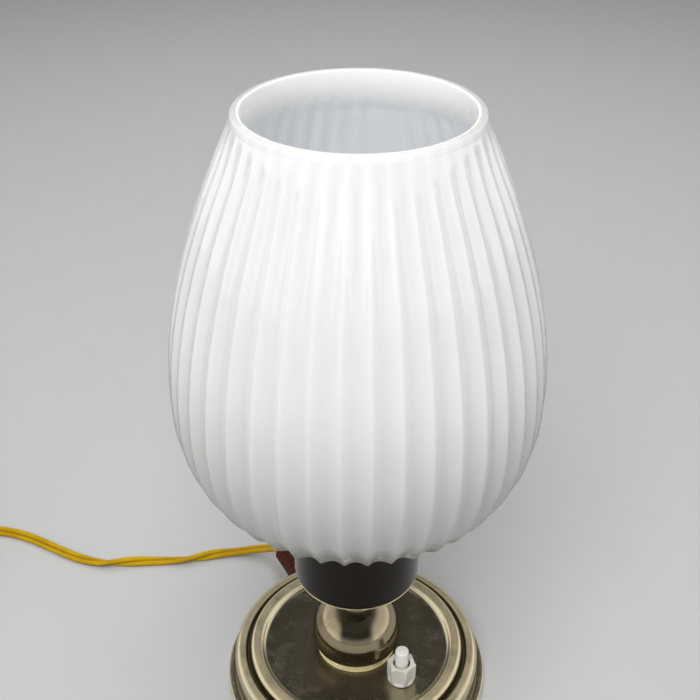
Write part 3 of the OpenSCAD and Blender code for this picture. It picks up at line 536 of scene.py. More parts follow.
class Effects:
    """Effects that several finishes share, each built once as a node group."""

    @staticmethod
    def start(name: str, inputs: dict[str, float], *outputs: str) -> tuple[Graph, Any, Any]:
        """Starts a group with named values in and out.

        Args:
            name: Name of the group.
            inputs: Names and usual values of its inputs.
            *outputs: Names of its outputs.

        Returns:
            The group's graph, its input sockets and its output sockets.
        """
        tree = bpy.data.node_groups.new(name, "ShaderNodeTree")
        for key, value in inputs.items():
            socket = tree.interface.new_socket(name=key, in_out="INPUT", socket_type="NodeSocketFloat")
            socket.default_value = value
        for key in outputs:
            tree.interface.new_socket(name=key, in_out="OUTPUT", socket_type="NodeSocketFloat")
        graph = Graph(tree)
        return graph, graph.add("NodeGroupInput").outputs, graph.add("NodeGroupOutput").inputs

    @staticmethod
    @cache
    def grain() -> Tree:
        """Fine unevenness, with a slow change of tone in clouds.

        Returns:
            The effect's node group.
        """
        g, given, out = Effects.start("grain", {"Scale": 900.0, "Clouds": 60.0}, "Height", "Tone")
        where = g.place()
        g.feed(out["Height"], g.noise(where, given["Scale"], detail=4.0, rough=0.6))
        g.feed(out["Tone"], g.noise(where, given["Clouds"], detail=5.0, rough=0.6))
        return g.tree

    @staticmethod
    @cache
    def pits() -> Tree:
        """Small pits and specks that lie in loose clusters.

        Returns:
            The effect's node group.
        """
        g, given, out = Effects.start("pits", {"Scale": 700.0, "Share": 0.5}, "Mask")
        cluster, largest, sharpness, band = 0.13, 0.34, 14.0, (0.42, 0.72)
        where = g.place()
        cells = g.add("ShaderNodeTexVoronoi", {"Vector": where, "Scale": given["Scale"], "Randomness": 1.0})
        drift = g.noise(where, g.times(given["Scale"], cluster), detail=4.0, rough=0.65)
        size = g.times(g.span(drift, *band, 0.0, largest), given["Share"])
        close = g.math("SUBTRACT", size, cells.outputs["Distance"])
        g.feed(out["Mask"], g.times(close, sharpness, True))
        return g.tree

    @staticmethod
    @cache
    def turning() -> Tree:
        """Fine rings that a lathe leaves round the upright axis.

        Returns:
            The effect's node group.
        """
        g, given, out = Effects.start("turning", {"Scale": 2500.0}, "Height")
        round_change = 0.8
        x, y, z = g.axes(g.place())
        radius = g.math("SQRT", g.total(g.times(x, x), g.times(y, y)))
        side = g.math("DIVIDE", x, g.math("MAXIMUM", radius, MM))
        across, up = g.times(radius, given["Scale"]), g.times(z, given["Scale"])
        parts = {"X": across, "Y": up, "Z": g.times(side, round_change)}
        where = g.add("ShaderNodeCombineXYZ", parts).outputs[0]
        g.feed(out["Height"], g.noise(where, scale=1.0, rough=0.7))
        return g.tree

    @staticmethod
    @cache
    def scuffs() -> Tree:
        """Thin scratches in two directions, in patches.

        Returns:
            The effect's node group.
        """
        g, given, out = Effects.start("scuffs", {"Scale": 90.0, "Share": 0.5}, "Mask")
        lean, width, middle, patch_scale, patch_band = 0.3, 0.012, 0.5, 0.5, (0.45, 0.7)
        where = g.place()
        lines = []
        for turn, stretch in ((0.6, 22.0), (2.1, 30.0)):
            inputs = {"Vector": where, "Rotation": (turn, lean, turn), "Scale": (1.0, stretch, 1.0)}
            turned = g.add("ShaderNodeMapping", inputs, vector_type="POINT").outputs[0]
            hair = g.noise(turned, given["Scale"], detail=1.0, rough=0.4)
            away = g.math("ABSOLUTE", g.math("SUBTRACT", hair, middle))
            lines.append(g.span(away, 0.0, width, 1.0, 0.0))
        patch = g.span(g.noise(where, g.times(given["Scale"], patch_scale)), *patch_band)
        both = g.times(g.math("MAXIMUM", *lines), patch)
        g.feed(out["Mask"], g.times(both, given["Share"], True))
        return g.tree

    @staticmethod
    @cache
    def patina() -> Tree:
        """Stains in clouds, and darkening where the mesh marks recesses, which is dirt and patina in most
        places and painted shade on the foot's plate and in the flex's groove.

        Returns:
            The effect's node group.
        """
        g, given, out = Effects.start("patina", {"Scale": 45.0, "Share": 0.4, "Recess": 0.8}, "Mask")
        clean, spread, steepness, band, least = 0.78, 0.5, 5.0, (0.2, 0.6), 0.55
        cloud = g.noise(g.place(), given["Scale"], detail=8.0, rough=0.68)
        low = g.math("SUBTRACT", clean, g.times(given["Share"], spread))
        rise = g.times(g.math("SUBTRACT", cloud, low), steepness, True)
        ragged = g.times(g.mark("recess"), g.span(cloud, *band, least, 1.0))
        g.feed(out["Mask"], g.math("MAXIMUM", rise, g.times(ragged, given["Recess"])))
        return g.tree

    @staticmethod
    @cache
    def dust() -> Tree:
        """A thin film on what faces up, thicker in patches and recesses.

        Returns:
            The effect's node group.
        """
        g, given, out = Effects.start("dust", {"Amount": 0.2, "Scale": 120.0}, "Mask")
        _, _, up = g.axes(g.add("ShaderNodeNewGeometry").outputs["Normal"])
        level, band = (0.1, 1.0), (0.3, 0.75)
        patch = g.span(g.noise(g.place(), given["Scale"], detail=6.0, rough=0.65), *band)
        film = g.times(g.span(up, *level), g.math("MAXIMUM", patch, g.mark("recess")))
        g.feed(out["Mask"], g.times(film, given["Amount"], True))
        return g.tree


# Finishes


def toned(colour: Colour, share: float) -> Colour:
    """A colour made darker or lighter."""
    return tuple(min(1.0, c * share) for c in colour)


@dataclass(frozen=True)
class Finish:
    """A finish, which becomes one material when it is first used."""

    name: str
    colour: Colour
    roughness: float

    @cache
    def made(self) -> bpy.types.Material:
        """The finish's material.

        Returns:
            The material, which is made once.
        """
        material = bpy.data.materials.new(self.name)
        material.use_nodes = True
        material.diffuse_color = (*self.colour, 1.0)
        graph = Graph(material.node_tree)
        shader = material.node_tree.nodes["Principled BSDF"]
        graph.fill(shader, {"Base Color": self.colour, "Roughness": self.roughness})
        self.dress(graph, shader)
        return material

    def dress(self, g: Graph, shader: Node) -> None:
        """Adds what the surface shows."""

    def blend(self, g: Graph, share: Any, shader: Node, other: Node) -> None:
        """Lets another shader show through the surface's own.

        Args:
            g: The material's graph.
            share: Share of the other shader.
            shader: The surface's own shader.
            other: The other shader.
        """
        both = g.add("ShaderNodeMixShader", {0: share, 1: shader.outputs[0], 2: other.outputs[0]})
        g.feed(g.tree.nodes["Material Output"].inputs["Surface"], both.outputs[0])


@dataclass(frozen=True)
class Metal(Finish):
    """Turned or pressed metal, with stains, bright marked places (worn crests on the foot, a painted
    highlight on the cup's bead), pits, scratches and lathe marks.
    """

    worn: Colour = (0.66, 0.56, 0.36)
    stain: Colour = (0.10, 0.070, 0.035)
    stain_share: float = 0.35
    stain_scale: float = 45.0
    recess: float = 0.85
    pit_share: float = 0.6
    pit_scale: float = 900.0
    pit_depth: float = 0.00003
    scuff_share: float = 0.4
    scuff_depth: float = 0.000004
    ring_height: float = 0.000004
    grain_height: float = 0.000006
    dust: float = 0.10
    dust_colour: Colour = (0.45, 0.42, 0.36)
    satin: float = 0.0
    grain_scale: float = 2600.0
    cloud_scale: float = 70.0
    tones: Point = (0.82, 1.12)
    rub_band: Point = (0.25, 0.5)
    rub_least: float = 0.6
    stain_cover: float = 0.8
    pit_cover: float = 0.85
    pit_dark: float = 0.4
    dust_cover: float = 0.6
    stain_rough: float = 0.26
    pit_rough: float = 0.35
    scuff_rough: float = 0.18
    uneven: float = 0.06
    pit_dull: float = 0.6
    rub_dull: float = 0.35

    def dress(self, g: Graph, shader: Node) -> None:
        """Adds stains, bright marked places (wear, and a painted highlight on the cup's bead), pits,
        scratches, lathe marks and dust.

        Args:
            g: The material's graph.
            shader: The surface's own shader.
        """
        clouds = {"Scale": self.stain_scale, "Share": self.stain_share, "Recess": self.recess}
        stain = g.effect(Effects.patina(), **clouds)["Mask"]
        pits = g.effect(Effects.pits(), Scale=self.pit_scale, Share=self.pit_share)["Mask"]
        scuffs = g.effect(Effects.scuffs(), Share=self.scuff_share)["Mask"]
        grain = g.effect(Effects.grain(), Scale=self.grain_scale, Clouds=self.cloud_scale)
        rings = g.effect(Effects.turning())["Height"]
        dust = g.effect(Effects.dust(), Amount=self.dust)["Mask"]
        dark, light = (toned(self.colour, share) for share in self.tones)
        # The mark gives rubbed brass on the foot's crests and rim, and a painted highlight on the cup's
        # bead.
        rubbed_and_lit = g.times(g.mark("worn"), g.span(grain["Tone"], *self.rub_band, self.rub_least, 1.0))
        tone = g.coated(
            g.mix(grain["Tone"], dark, light),
            (g.times(stain, self.stain_cover), self.stain),
            (rubbed_and_lit, self.worn),
            (g.times(pits, self.pit_cover), toned(self.stain, self.pit_dark)),
            (g.times(dust, self.dust_cover), self.dust_colour),
        )
        rough = ((stain, self.stain_rough), (pits, self.pit_rough), (scuffs, self.scuff_rough))
        marred = [g.times(mask, share) for mask, share in rough]
        uneven = g.span(grain["Tone"], *MIDDLE, 0.0, self.uneven)
        covered = g.total(g.times(pits, self.pit_dull), dust, g.times(rubbed_and_lit, self.rub_dull))
        height = g.total(
            g.times(rings, self.ring_height / MM),
            g.times(grain["Height"], self.grain_height / MM),
            g.times(pits, -self.pit_depth / MM),
            g.times(scuffs, -self.scuff_depth / MM),
        )
        g.fill(shader, {
            "Base Color": tone,
            "Roughness": g.total(*marred, dust, uneven, self.roughness, clamp=True),
            "Metallic": g.math("SUBTRACT", 1.0 - self.satin, covered, True),
            "Normal": g.bump(height),
        })


@dataclass(frozen=True)
class Moulded(Finish):
    """Moulded plastic, resin or glazed ceramic, with a soft skin, specks, scratches and dust."""

    shade: Colour = (0.5, 0.45, 0.35)
    shade_share: float = 0.25
    peel_height: float = 0.00002
    peel_scale: float = 700.0
    speck_share: float = 0.35
    speck_depth: float = 0.00001
    scuff_share: float = 0.3
    scuff_depth: float = 0.000006
    dust: float = 0.12
    dust_colour: Colour = (0.5, 0.48, 0.43)
    soft: float = 0.0
    soft_radius: Vec = (1.0, 0.8, 0.6)
    gloss: float = 0.5
    cloud_scale: float = 90.0
    dirt_scale: float = 160.0
    dirt_share: float = 0.12
    recess: float = 0.7
    speck_scale: float = 1300.0
    scuff_scale: float = 140.0
    dirt_cover: float = 0.7
    dirt_dark: float = 0.45
    speck_cover: float = 0.5
    speck_dark: float = 0.4
    dust_cover: float = 0.5
    scuff_rough: float = 0.25
    dirt_rough: float = 0.25
    uneven: float = 0.08

    def dress(self, g: Graph, shader: Node) -> None:
        """Adds the skin's unevenness, darkening in recesses (dirt, and painted shade in the flex's groove),
        specks, scratches and dust.

        Args:
            g: The material's graph.
            shader: The surface's own shader.
        """
        clouds = {"Scale": self.dirt_scale, "Share": self.dirt_share, "Recess": self.recess}
        grain = g.effect(Effects.grain(), Scale=self.peel_scale, Clouds=self.cloud_scale)
        dirt = g.effect(Effects.patina(), **clouds)["Mask"]
        specks = g.effect(Effects.pits(), Scale=self.speck_scale, Share=self.speck_share)["Mask"]
        scuffs = g.effect(Effects.scuffs(), Scale=self.scuff_scale, Share=self.scuff_share)["Mask"]
        dust = g.effect(Effects.dust(), Amount=self.dust)["Mask"]
        tone = g.coated(
            self.colour,
            (g.span(grain["Tone"], *MIDDLE, 0.0, self.shade_share), self.shade),
            (g.times(dirt, self.dirt_cover), toned(self.shade, self.dirt_dark)),
            (g.times(specks, self.speck_cover), toned(self.shade, self.speck_dark)),
            (g.times(dust, self.dust_cover), self.dust_colour),
        )
        marred = (g.times(scuffs, self.scuff_rough), g.times(dirt, self.dirt_rough), dust)
        uneven = g.span(grain["Tone"], *MIDDLE, 0.0, self.uneven)
        height = g.total(
            g.times(grain["Height"], self.peel_height / MM),
            g.times(scuffs, -self.scuff_depth / MM),
            g.times(specks, -self.speck_depth / MM),
        )
        g.fill(shader, {
            "Base Color": tone,
            "Roughness": g.total(*marred, uneven, self.roughness, clamp=True),
            "Normal": g.bump(height),
            "Specular IOR Level": self.gloss,
            "Subsurface Weight": self.soft,
            "Subsurface Radius": self.soft_radius,
            "Subsurface Scale": MM,
        })


@dataclass(frozen=True)
class Felt(Finish):
    """Pressed felt or rough cast metal: a matt, fibrous or sandy skin."""

    second: Colour = (0.1, 0.1, 0.1)
    fibre_scale: float = 2400.0
    lump: float = 0.0002
    change: float = 0.08
    sheen: float = 0.3
    sheen_rough: float = 0.6
    metal: float = 0.0
    cloud_scale: float = 300.0
    patch_band: Point = (0.35, 0.65)
    speck_scale: float = 1600.0
    speck_share: float = 0.8
    speck_cover: float = 0.4
    speck_dark: float = 0.5

    def dress(self, g: Graph, shader: Node) -> None:
        """Adds the fibres or sand, in two tones.

        Args:
            g: The material's graph.
            shader: The surface's own shader.
        """
        grain = g.effect(Effects.grain(), Scale=self.fibre_scale, Clouds=self.cloud_scale)
        specks = g.effect(Effects.pits(), Scale=self.speck_scale, Share=self.speck_share)["Mask"]
        patches = (g.span(grain["Tone"], *self.patch_band), self.second)
        dots = (g.times(specks, self.speck_cover), toned(self.second, self.speck_dark))
        low, high = self.roughness - self.change, min(1.0, self.roughness + self.change)
        g.fill(shader, {
            "Base Color": g.coated(self.colour, patches, dots),
            "Roughness": g.span(grain["Height"], *MIDDLE, low, high),
            "Normal": g.bump(grain["Height"], self.lump),
            "Metallic": self.metal,
            "Sheen Weight": self.sheen,
            "Sheen Roughness": self.sheen_rough,
        })


@dataclass(frozen=True)
class Opal(Finish):
    """The white layer of the cased glass, which lets some light through, with painted shade in the hollows
    of the pleats, towards the bottom edge and inside below the lip.
    """

    cloud_and_shade_tint: Colour = (0.80, 0.84, 0.82)
    # Colour of the painted shade inside, below the lip.
    inner: Colour = (0.80, 0.80, 0.80)
    through: float = 0.22
    ripple: float = 0.00003
    ripple_scale: float = 220.0
    change: float = 0.06
    cloud_scale: float = 38.0
    cloud_band: Point = (0.35, 0.7)
    cloud_share: float = 0.06
    painted_shade_share: float = 0.7
    gloss: float = 0.35

    def dress(self, g: Graph, shader: Node) -> None:
        """Adds faint clouds in the white, painted shade in the hollows, towards the bottom and inside, and
        the light that comes through.

        Args:
            g: The material's graph.
            shader: The surface's own shader.
        """
        grain = g.effect(Effects.grain(), Scale=self.ripple_scale, Clouds=self.cloud_scale)
        clouds = g.span(grain["Tone"], *self.cloud_band, 0.0, self.cloud_share)
        # Painted shade: the mark greys the hollows of the pleats and the glass towards the bottom edge; the
        # clouds are real tone.
        painted_shade = g.total(clouds, g.times(g.mark("painted_shade"), self.painted_shade_share))
        tone = g.coated(self.colour, (painted_shade, self.cloud_and_shade_tint), (g.mark("inside"), self.inner))
        normal = g.bump(grain["Height"], self.ripple)
        g.fill(shader, {
            "Base Color": tone,
            "Roughness": g.span(grain["Tone"], *MIDDLE, self.roughness, self.roughness + self.change),
            "Normal": normal,
            "Specular IOR Level": self.gloss,
        })
        glow = g.add("ShaderNodeBsdfTranslucent", {"Color": tone, "Normal": normal})
        self.blend(g, self.through, shader, glow)


@dataclass(frozen=True)
class ClearGlass(Finish):
    """The clear layer over the opal, with faint waves and a ground rim, which lets lamps through."""

    wave: float = 0.00004
    wave_scale: float = 130.0
    seeds: float = 0.5
    seed_height: float = 0.00001
    seed_scale: float = 420.0
    ground: float = 0.45
    dust: float = 0.05
    dust_scale: float = 160.0
    index: float = 1.5

    def dress(self, g: Graph, shader: Node) -> None:
        """Adds faint waves and seeds, and leaves shadow rays and soft light alone.

        Args:
            g: The material's graph.
            shader: The surface's own shader.
        """
        grain = g.effect(Effects.grain(), Scale=self.wave_scale)
        seeds = g.effect(Effects.pits(), Scale=self.seed_scale, Share=self.seeds)["Mask"]
        dust = g.effect(Effects.dust(), Amount=self.dust, Scale=self.dust_scale)["Mask"]
        wave = g.times(grain["Height"], self.wave / MM)
        g.fill(shader, {
            "Roughness": g.total(dust, g.times(g.mark("ground"), self.ground), self.roughness),
            "Normal": g.bump(g.total(wave, g.times(seeds, self.seed_height / MM))),
            "Transmission Weight": 1.0,
            "IOR": self.index,
        })
        path = g.add("ShaderNodeLightPath").outputs
        loose = g.math("MAXIMUM", path["Is Shadow Ray"], path["Is Diffuse Ray"])
        self.blend(g, loose, shader, g.add("ShaderNodeBsdfTransparent", {"Color": self.colour}))


@dataclass(frozen=True)
class FloorPaint(Finish):
    """Matt paint on the floor, with a faint change of tone."""

    cloud_scale: float = 30.0
    dark: float = 0.97

    def dress(self, g: Graph, shader: Node) -> None:
        """Adds the change of tone."""
        clouds = g.noise(g.place(), self.cloud_scale, detail=4.0)
        g.feed(shader.inputs["Base Color"], g.mix(clouds, toned(self.colour, self.dark), self.colour))


class Finishes:
    """Every finish on the lamp, and the floor's."""

    PLATE = Metal(
        "worn_nickel_plate", (0.60, 0.53, 0.38), 0.09, stain=(0.10, 0.066, 0.018), stain_share=0.30
    )
    BALL = Metal("polished_ball", (0.37, 0.31, 0.205), 0.06, stain_share=0.5, pit_share=0.5)
    # Painted shade: the cup's plating is given a near-black colour, standing for the shade under the glass
    # and the dark it reflects.
    CUP_PAINTED_DARK = Metal(
        "cup_painted_dark", (0.030, 0.026, 0.022), 0.10, stain=(0.02, 0.014, 0.009), stain_share=0.2, dust=0.02
    )
    COLLAR = Metal(
        "gold_collar", (0.96, 0.78, 0.41), 0.22, stain=(0.34, 0.20, 0.07), stain_share=0.2, satin=0.55
    )
    BRASS = Metal("bright_brass", (0.80, 0.60, 0.26), 0.16, stain=(0.22, 0.12, 0.04), stain_share=0.25)
    STEEL = Metal("zinc_steel", (0.56, 0.56, 0.54), 0.30, stain=(0.20, 0.19, 0.17), stain_share=0.4)
    ALUMINIUM = Metal(
        "bulb_cap_aluminium", (0.70, 0.70, 0.69), 0.28, stain=(0.3, 0.3, 0.29), stain_share=0.3
    )
    PINS = Metal("plated_pins", (0.66, 0.64, 0.58), 0.18, stain_share=0.2)
    IRON = Felt(
        "cast_iron", (0.12, 0.115, 0.11), 0.72, second=(0.07, 0.065, 0.06), lump=0.0003, sheen=0.0, metal=0.6
    )
    FELT = Felt("green_felt", (0.05, 0.08, 0.045), 0.95, second=(0.03, 0.05, 0.03))
    RUBBER = Moulded("black_rubber", (0.035, 0.032, 0.03), 0.62, shade=(0.06, 0.055, 0.05), gloss=0.3)
    SLEEVE = Moulded(
        "red_brown_rubber", (0.050, 0.010, 0.005), 0.55, shade=(0.03, 0.008, 0.004), gloss=0.2, dust=0.02
    )
    BAKELITE = Moulded("dark_resin", (0.028, 0.020, 0.016), 0.20, shade=(0.05, 0.03, 0.02), shade_share=0.6)
    PORCELAIN = Moulded("glazed_porcelain", (0.80, 0.77, 0.69), 0.16, shade=(0.70, 0.64, 0.52))
    WHITE = Moulded("warm_white_plastic", (0.74, 0.73, 0.69), 0.30, shade=(0.68, 0.65, 0.58), soft=0.25)
    NUT = Moulded("milky_plastic", (0.61, 0.60, 0.535), 0.26, shade=(0.52, 0.50, 0.43), soft=0.4)
    FLEX = Moulded(
        "yellow_sheath", (0.44, 0.268, 0.002), 0.38,
        shade=(0.25, 0.135, 0.003), shade_share=0.5, gloss=0.2, dust=0.02,
    )
    TIE = Moulded("tie_plastic", (0.74, 0.72, 0.64), 0.40, shade=(0.62, 0.58, 0.48))
    PLUG = Moulded("cream_plastic", (0.70, 0.64, 0.48), 0.32, shade=(0.55, 0.47, 0.32), soft=0.15)
    BROWN = Moulded("brown_lead", (0.17, 0.07, 0.025), 0.45, shade=(0.10, 0.04, 0.02))
    BLACK = Moulded("black_lead", (0.03, 0.028, 0.026), 0.45, shade=(0.05, 0.045, 0.04))
    BLUE = Moulded("blue_lead", (0.04, 0.09, 0.26), 0.45, shade=(0.03, 0.06, 0.17))
    FROST = Opal("frosted_bulb", (0.86, 0.85, 0.81), 0.35, cloud_and_shade_tint=(0.80, 0.79, 0.74), through=0.35)
    # The opal's tint is painted shade, laid in the hollows and towards the bottom, and its inner colour is
    # painted shade inside below the lip.
    OPAL = Opal(
        "opal_layer", (0.96, 0.955, 0.95), 0.25,
        cloud_and_shade_tint=(0.62, 0.62, 0.605), inner=(0.885, 0.91, 0.94), through=0.5,
    )
    CASING = ClearGlass("clear_casing", (0.985, 0.988, 0.986), 0.015)
    FLOOR = FloorPaint("floor", (0.42, 0.42, 0.415), 0.75)


# Pieces


@dataclass
class Studio:
    """Camera, floor, surrounding light and lamps."""

    camera_at: Vec = (-0.003, -0.354, 0.4137)
    camera_tilt: float = 57.3
    lens: float = 54.0
    sensor: float = 36.0
    near: float = 0.01
    floor_half: float = 40.0
    dim: float = 0.05
    haze: float = 0.45
    sides: float = 0.9
    beside_span: Point = (0.55, 0.80)
    below_span: Point = (0.45, 0.80)
    haze_span: Point = (0.05, 0.35)
    room_colour: Colour = (1.0, 0.99, 0.97)
    target: Vec = (0.0, 0.0, 0.17)
    lamps: tuple[tuple[str, Vec, float, float], ...] = (
        ("front_lamp", (-0.20, -0.95, 1.40), 1.0, 28.5),
        ("top_lamp", (0.10, 0.0, 1.60), 0.9, 9.0),
        ("back_lamp", (0.0, 0.95, 1.20), 0.8, 7.0),
    )

    def build(self) -> None:
        """Makes the camera, the floor and the light."""
        self.make_camera()
        self.make_floor()
        self.make_world()
        for name, at, size, power in self.lamps:
            self.make_lamp(name, Vector(at), size, power)
        bpy.context.scene.view_settings.view_transform = "Standard"

    def make_camera(self) -> None:
        """Puts the camera where the photograph was taken."""
        lens = bpy.data.cameras.new("view")
        lens.lens = self.lens
        lens.sensor_width = self.sensor
        lens.clip_start = self.near
        camera = linked("view", lens)
        camera.location = self.camera_at
        camera.rotation_euler = (math.radians(self.camera_tilt), 0.0, 0.0)
        bpy.context.scene.camera = camera

    def make_floor(self) -> None:
        """Lays the pale floor."""
        half = self.floor_half
        mesh = bpy.data.meshes.new("floor")
        corners = [(-half, -half, 0), (half, -half, 0), (half, half, 0), (-half, half, 0)]
        mesh.from_pydata(corners, [], [(0, 1, 2, 3)])
        mesh.materials.append(Finishes.FLOOR.made())
        linked("floor", mesh)

    def make_world(self) -> None:
        """Surrounds the scene with dim light, paler along the horizon and bright at both sides."""
        world = bpy.data.worlds.new("room")
        bpy.context.scene.world = world
        world.use_nodes = True
        graph = Graph(world.node_tree)
        x, _, z = graph.axes(graph.add("ShaderNodeTexCoord").outputs["Generated"])
        beside = graph.span(graph.math("ABSOLUTE", x), *self.beside_span)
        below = graph.span(z, *self.below_span, self.sides, 0.0)
        haze = graph.span(z, *self.haze_span, self.haze, 0.0)
        level = graph.total(graph.times(beside, below), self.dim, haze)
        graph.fill(world.node_tree.nodes["Background"], {"Strength": level, "Color": self.room_colour})

    def make_lamp(self, name: str, at: Vector, size: float, power: float) -> None:
        """Hangs one soft square lamp that faces the object.

        Args:
            name: Name of the lamp.
            at: Its place in metres.
            size: Its side in metres.
            power: Its power in watts.
        """
        light = bpy.data.lights.new(name, "AREA")
        light.size = size
        light.energy = power
        lamp = linked(name, light)
        lamp.location = at
        lamp.rotation_euler = (Vector(self.target) - at).to_track_quat("-Z", "Y").to_euler()
        lamp.visible_glossy = False


@dataclass
class Flex:
    """The flat twin flex with its strain relief, coil, tie and plug."""

    width: float = 5.2
    thick: float = 2.6
    length: float = 1800.0
    exit_turn: float = 30.2
    exit_z: float = 10.0
    exit_roll: float = -180.0
    start_r: float = 53.07
    sleeve_in: float = 57.47
    sleeve_out: float = 58.95
    sleeve_mid: float = 70.95
    sleeve_end: float = 80.95
    sleeve_big: float = 4.6
    sleeve_small: float = 3.7
    sleeve_bore: float = 2.9
    sleeve_ribs: int = 6
    rib_depth: float = 0.45
    table_z: float = 1.4
    coil_at: Point = (-250.0, 77.0)
    coil_from: float = 66.0
    coil_pitch: float = 3.1
    coil_step: float = 5.7
    coil_z: float = 3.6
    coil_turns: float = 4.20169
    coil_out: float = 35.0126
    coil_in: float = 21.9874
    coil_exit: float = 16.0
    coil_climb: float = 0.5
    coil_roll: float = 270.0
    turn_steps: int = 48
    lead_steps: int = 4
    groove_open: float = 148.0
    # Painted shade in the groove between the strands: its half width and softness.
    groove_shade_half: float = 0.62
    groove_soft: float = 0.3
    tie_width: float = 6.0
    tie_thick: float = 0.8
    tie_turn: float = 150.0
    tie_room: float = 0.45
    tie_under: float = 0.15
    tie_bend: float = 2.2
    tie_edge: float = 0.25
    tie_head: Point = (2.6, 3.6)
    plug_tail: float = 20.0
    plug_length: float = 34.0
    plug_width: float = 35.0
    plug_half: float = 9.1
    plug_gap: float = 0.05
    plug_root: Point = (5.6, 5.9)
    plug_ribs: int = 5
    rim_cut: float = 1.0
    pin_pitch: float = 19.0
    pin_r: float = 2.0
    pin_length: float = 19.0
    pin_root: float = 10.85
    pin_dome: float = 1.6

    def heading(self, turn: float) -> Vector:
        """The level direction at a right angle to a turn in degrees."""
        a = math.radians(turn)
        return Vector((-math.sin(a), math.cos(a), 0.0))

    def exit_point(self, r: float) -> Vector:
        """The point of the flex at a distance from the lamp's axis."""
        return self.heading(self.exit_turn) * r + Vector((0.0, 0.0, self.exit_z))

    def coil_total(self) -> float:
        """All the turns of the coil, in both layers."""
        return 2 * self.coil_turns + self.coil_climb

    def coil_point(self, u: float) -> tuple[float, float, float, float]:
        """The place and roll of the flex after u turns of the coil.

        Args:
            u: Number of turns.

        Returns:
            Its x, y, z and roll in degrees.
        """
        turn = math.radians(self.coil_from + 360 * u)
        if u < self.coil_turns + self.coil_climb / 2:
            r = self.coil_out - self.coil_pitch * u
        else:
            r = self.coil_in - self.coil_pitch * (self.coil_turns + self.coil_climb - u)
        x, y = self.coil_at
        z = self.coil_z + self.coil_step * smooth((u - self.coil_turns) / self.coil_climb)
        return (x + r * math.cos(turn), y + r * math.sin(turn), z, self.coil_roll)

    def coil_end(self) -> tuple[Vector, Vector]:
        """The last point of the coil and the heading there."""
        total = self.coil_total()
        return Vector(self.coil_point(total)[:3]), self.heading(self.coil_from + 360 * total)

    def path(self) -> list[tuple[float, ...]]:
        """The whole line of the flex, from inside the foot to inside the plug.

        Returns:
            For each point x, y, z and the roll in degrees.
        """
        low = self.table_z
        sleeve = (self.sleeve_in, self.sleeve_out, self.sleeve_mid, self.sleeve_end)
        points = [(*self.exit_point(r), self.exit_roll) for r in (self.start_r, *sleeve)]
        points += [
            (-42.6, 73.1, 9.2, -180), (-45.2, 75.5, 7.9, -180), (-49.1, 77, 6.2, -180),
            (-53.8, 78, 4.8, -180), (-58.7, 78.5, 3.6, -180), (-68.3, 78.4, 2, -178),
            (-77.1, 76.9, 2.1, -150), (-86.1, 73.9, 2.7, -90), (-95.4, 72.4, 2.1, -30),
            (-104.3, 72.2, low, 0), (-113.6, 71.6, 1.8, 15), (-122.8, 70.5, 2.5, 55),
            (-131.4, 69.7, 2.7, 105), (-140.9, 70.3, 2, 160), (-150.9, 73, 1.8, 195),
            (-160.7, 77.2, 2.1, 212), (-171.6, 83, 2.2, 220), (-182.6, 88.8, 2.3, 222),
            (-193.6, 93.2, 2.3, 224), (-203.8, 95.6, 2.4, 230), (-215, 99.2, 3, 250),
        ]
        first = Vector(self.coil_point(0.0)[:3])
        points.append((*(first - 2 * self.width * self.heading(self.coil_from)), self.coil_roll))
        points.append(self.coil_point(0.0))
        lead = smooth_path(points, self.lead_steps)
        total = self.coil_total()
        steps = round(total * self.turn_steps)
        coil = [self.coil_point(total * i / steps) for i in range(1, steps + 1)]
        last, ahead = self.coil_end()
        away = (4.0, 8.0, 12.0, self.coil_exit, self.coil_exit + 6.0)
        return lead + coil + [(*(last + ahead * d), self.coil_roll) for d in away]

    def section(self) -> list[Point]:
        """The outline of two round strands side by side, with a groove between them.

        Returns:
            Its points, across and up.
        """
        r, part, steps = self.thick / 2, self.groove_open, 18
        right = arc(self.width / 2 - r, 0.0, r, -part, part, steps)
        left = arc(r - self.width / 2, 0.0, r, 180 - part, 180 + part, steps)
        return right + left

    def build(self) -> None:
        path, section = self.path(), self.section()
        shape = sweep(path, section)
        # Painted shade: the groove between the strands is marked to be darkened.
        groove = [smooth((self.groove_shade_half - abs(u)) / self.groove_soft) for u, _ in section]
        shape.marks["recess"] = groove * len(path)
        flex = place(shape.made("flex", 60.0), Finishes.FLEX, Slot.FLEX, "mains_cord", "cord_coil")
        plug = place(self.plug_body(), Finishes.PLUG, Slot.PLUG, "plug_body")
        pins = place(self.plug_pins(), Finishes.PINS, Slot.PINS, "plug_pins")
        tie = place(self.tie(), Finishes.TIE, Slot.TIE, "cord_tie")
        place(self.sleeve(), Finishes.SLEEVE, Slot.SLEEVE, "cord_sleeve")
        tuple(self.exit_point(self.sleeve_end) * MM)
        [tuple(Vector(p[:3]) * MM) for p in path]

    def sleeve(self) -> Thing:
        """The tapered strain relief, with rings round it and a rounded tip.

        Returns:
            The new object.
        """
        start, out, end = self.sleeve_in, self.sleeve_out, self.sleeve_end
        big, small, steps = self.sleeve_big, self.sleeve_small, 72

        def dirt(r: float, _: float) -> float:
            """Dirt in the grooves."""
            return smooth((small - r) / 0.4)

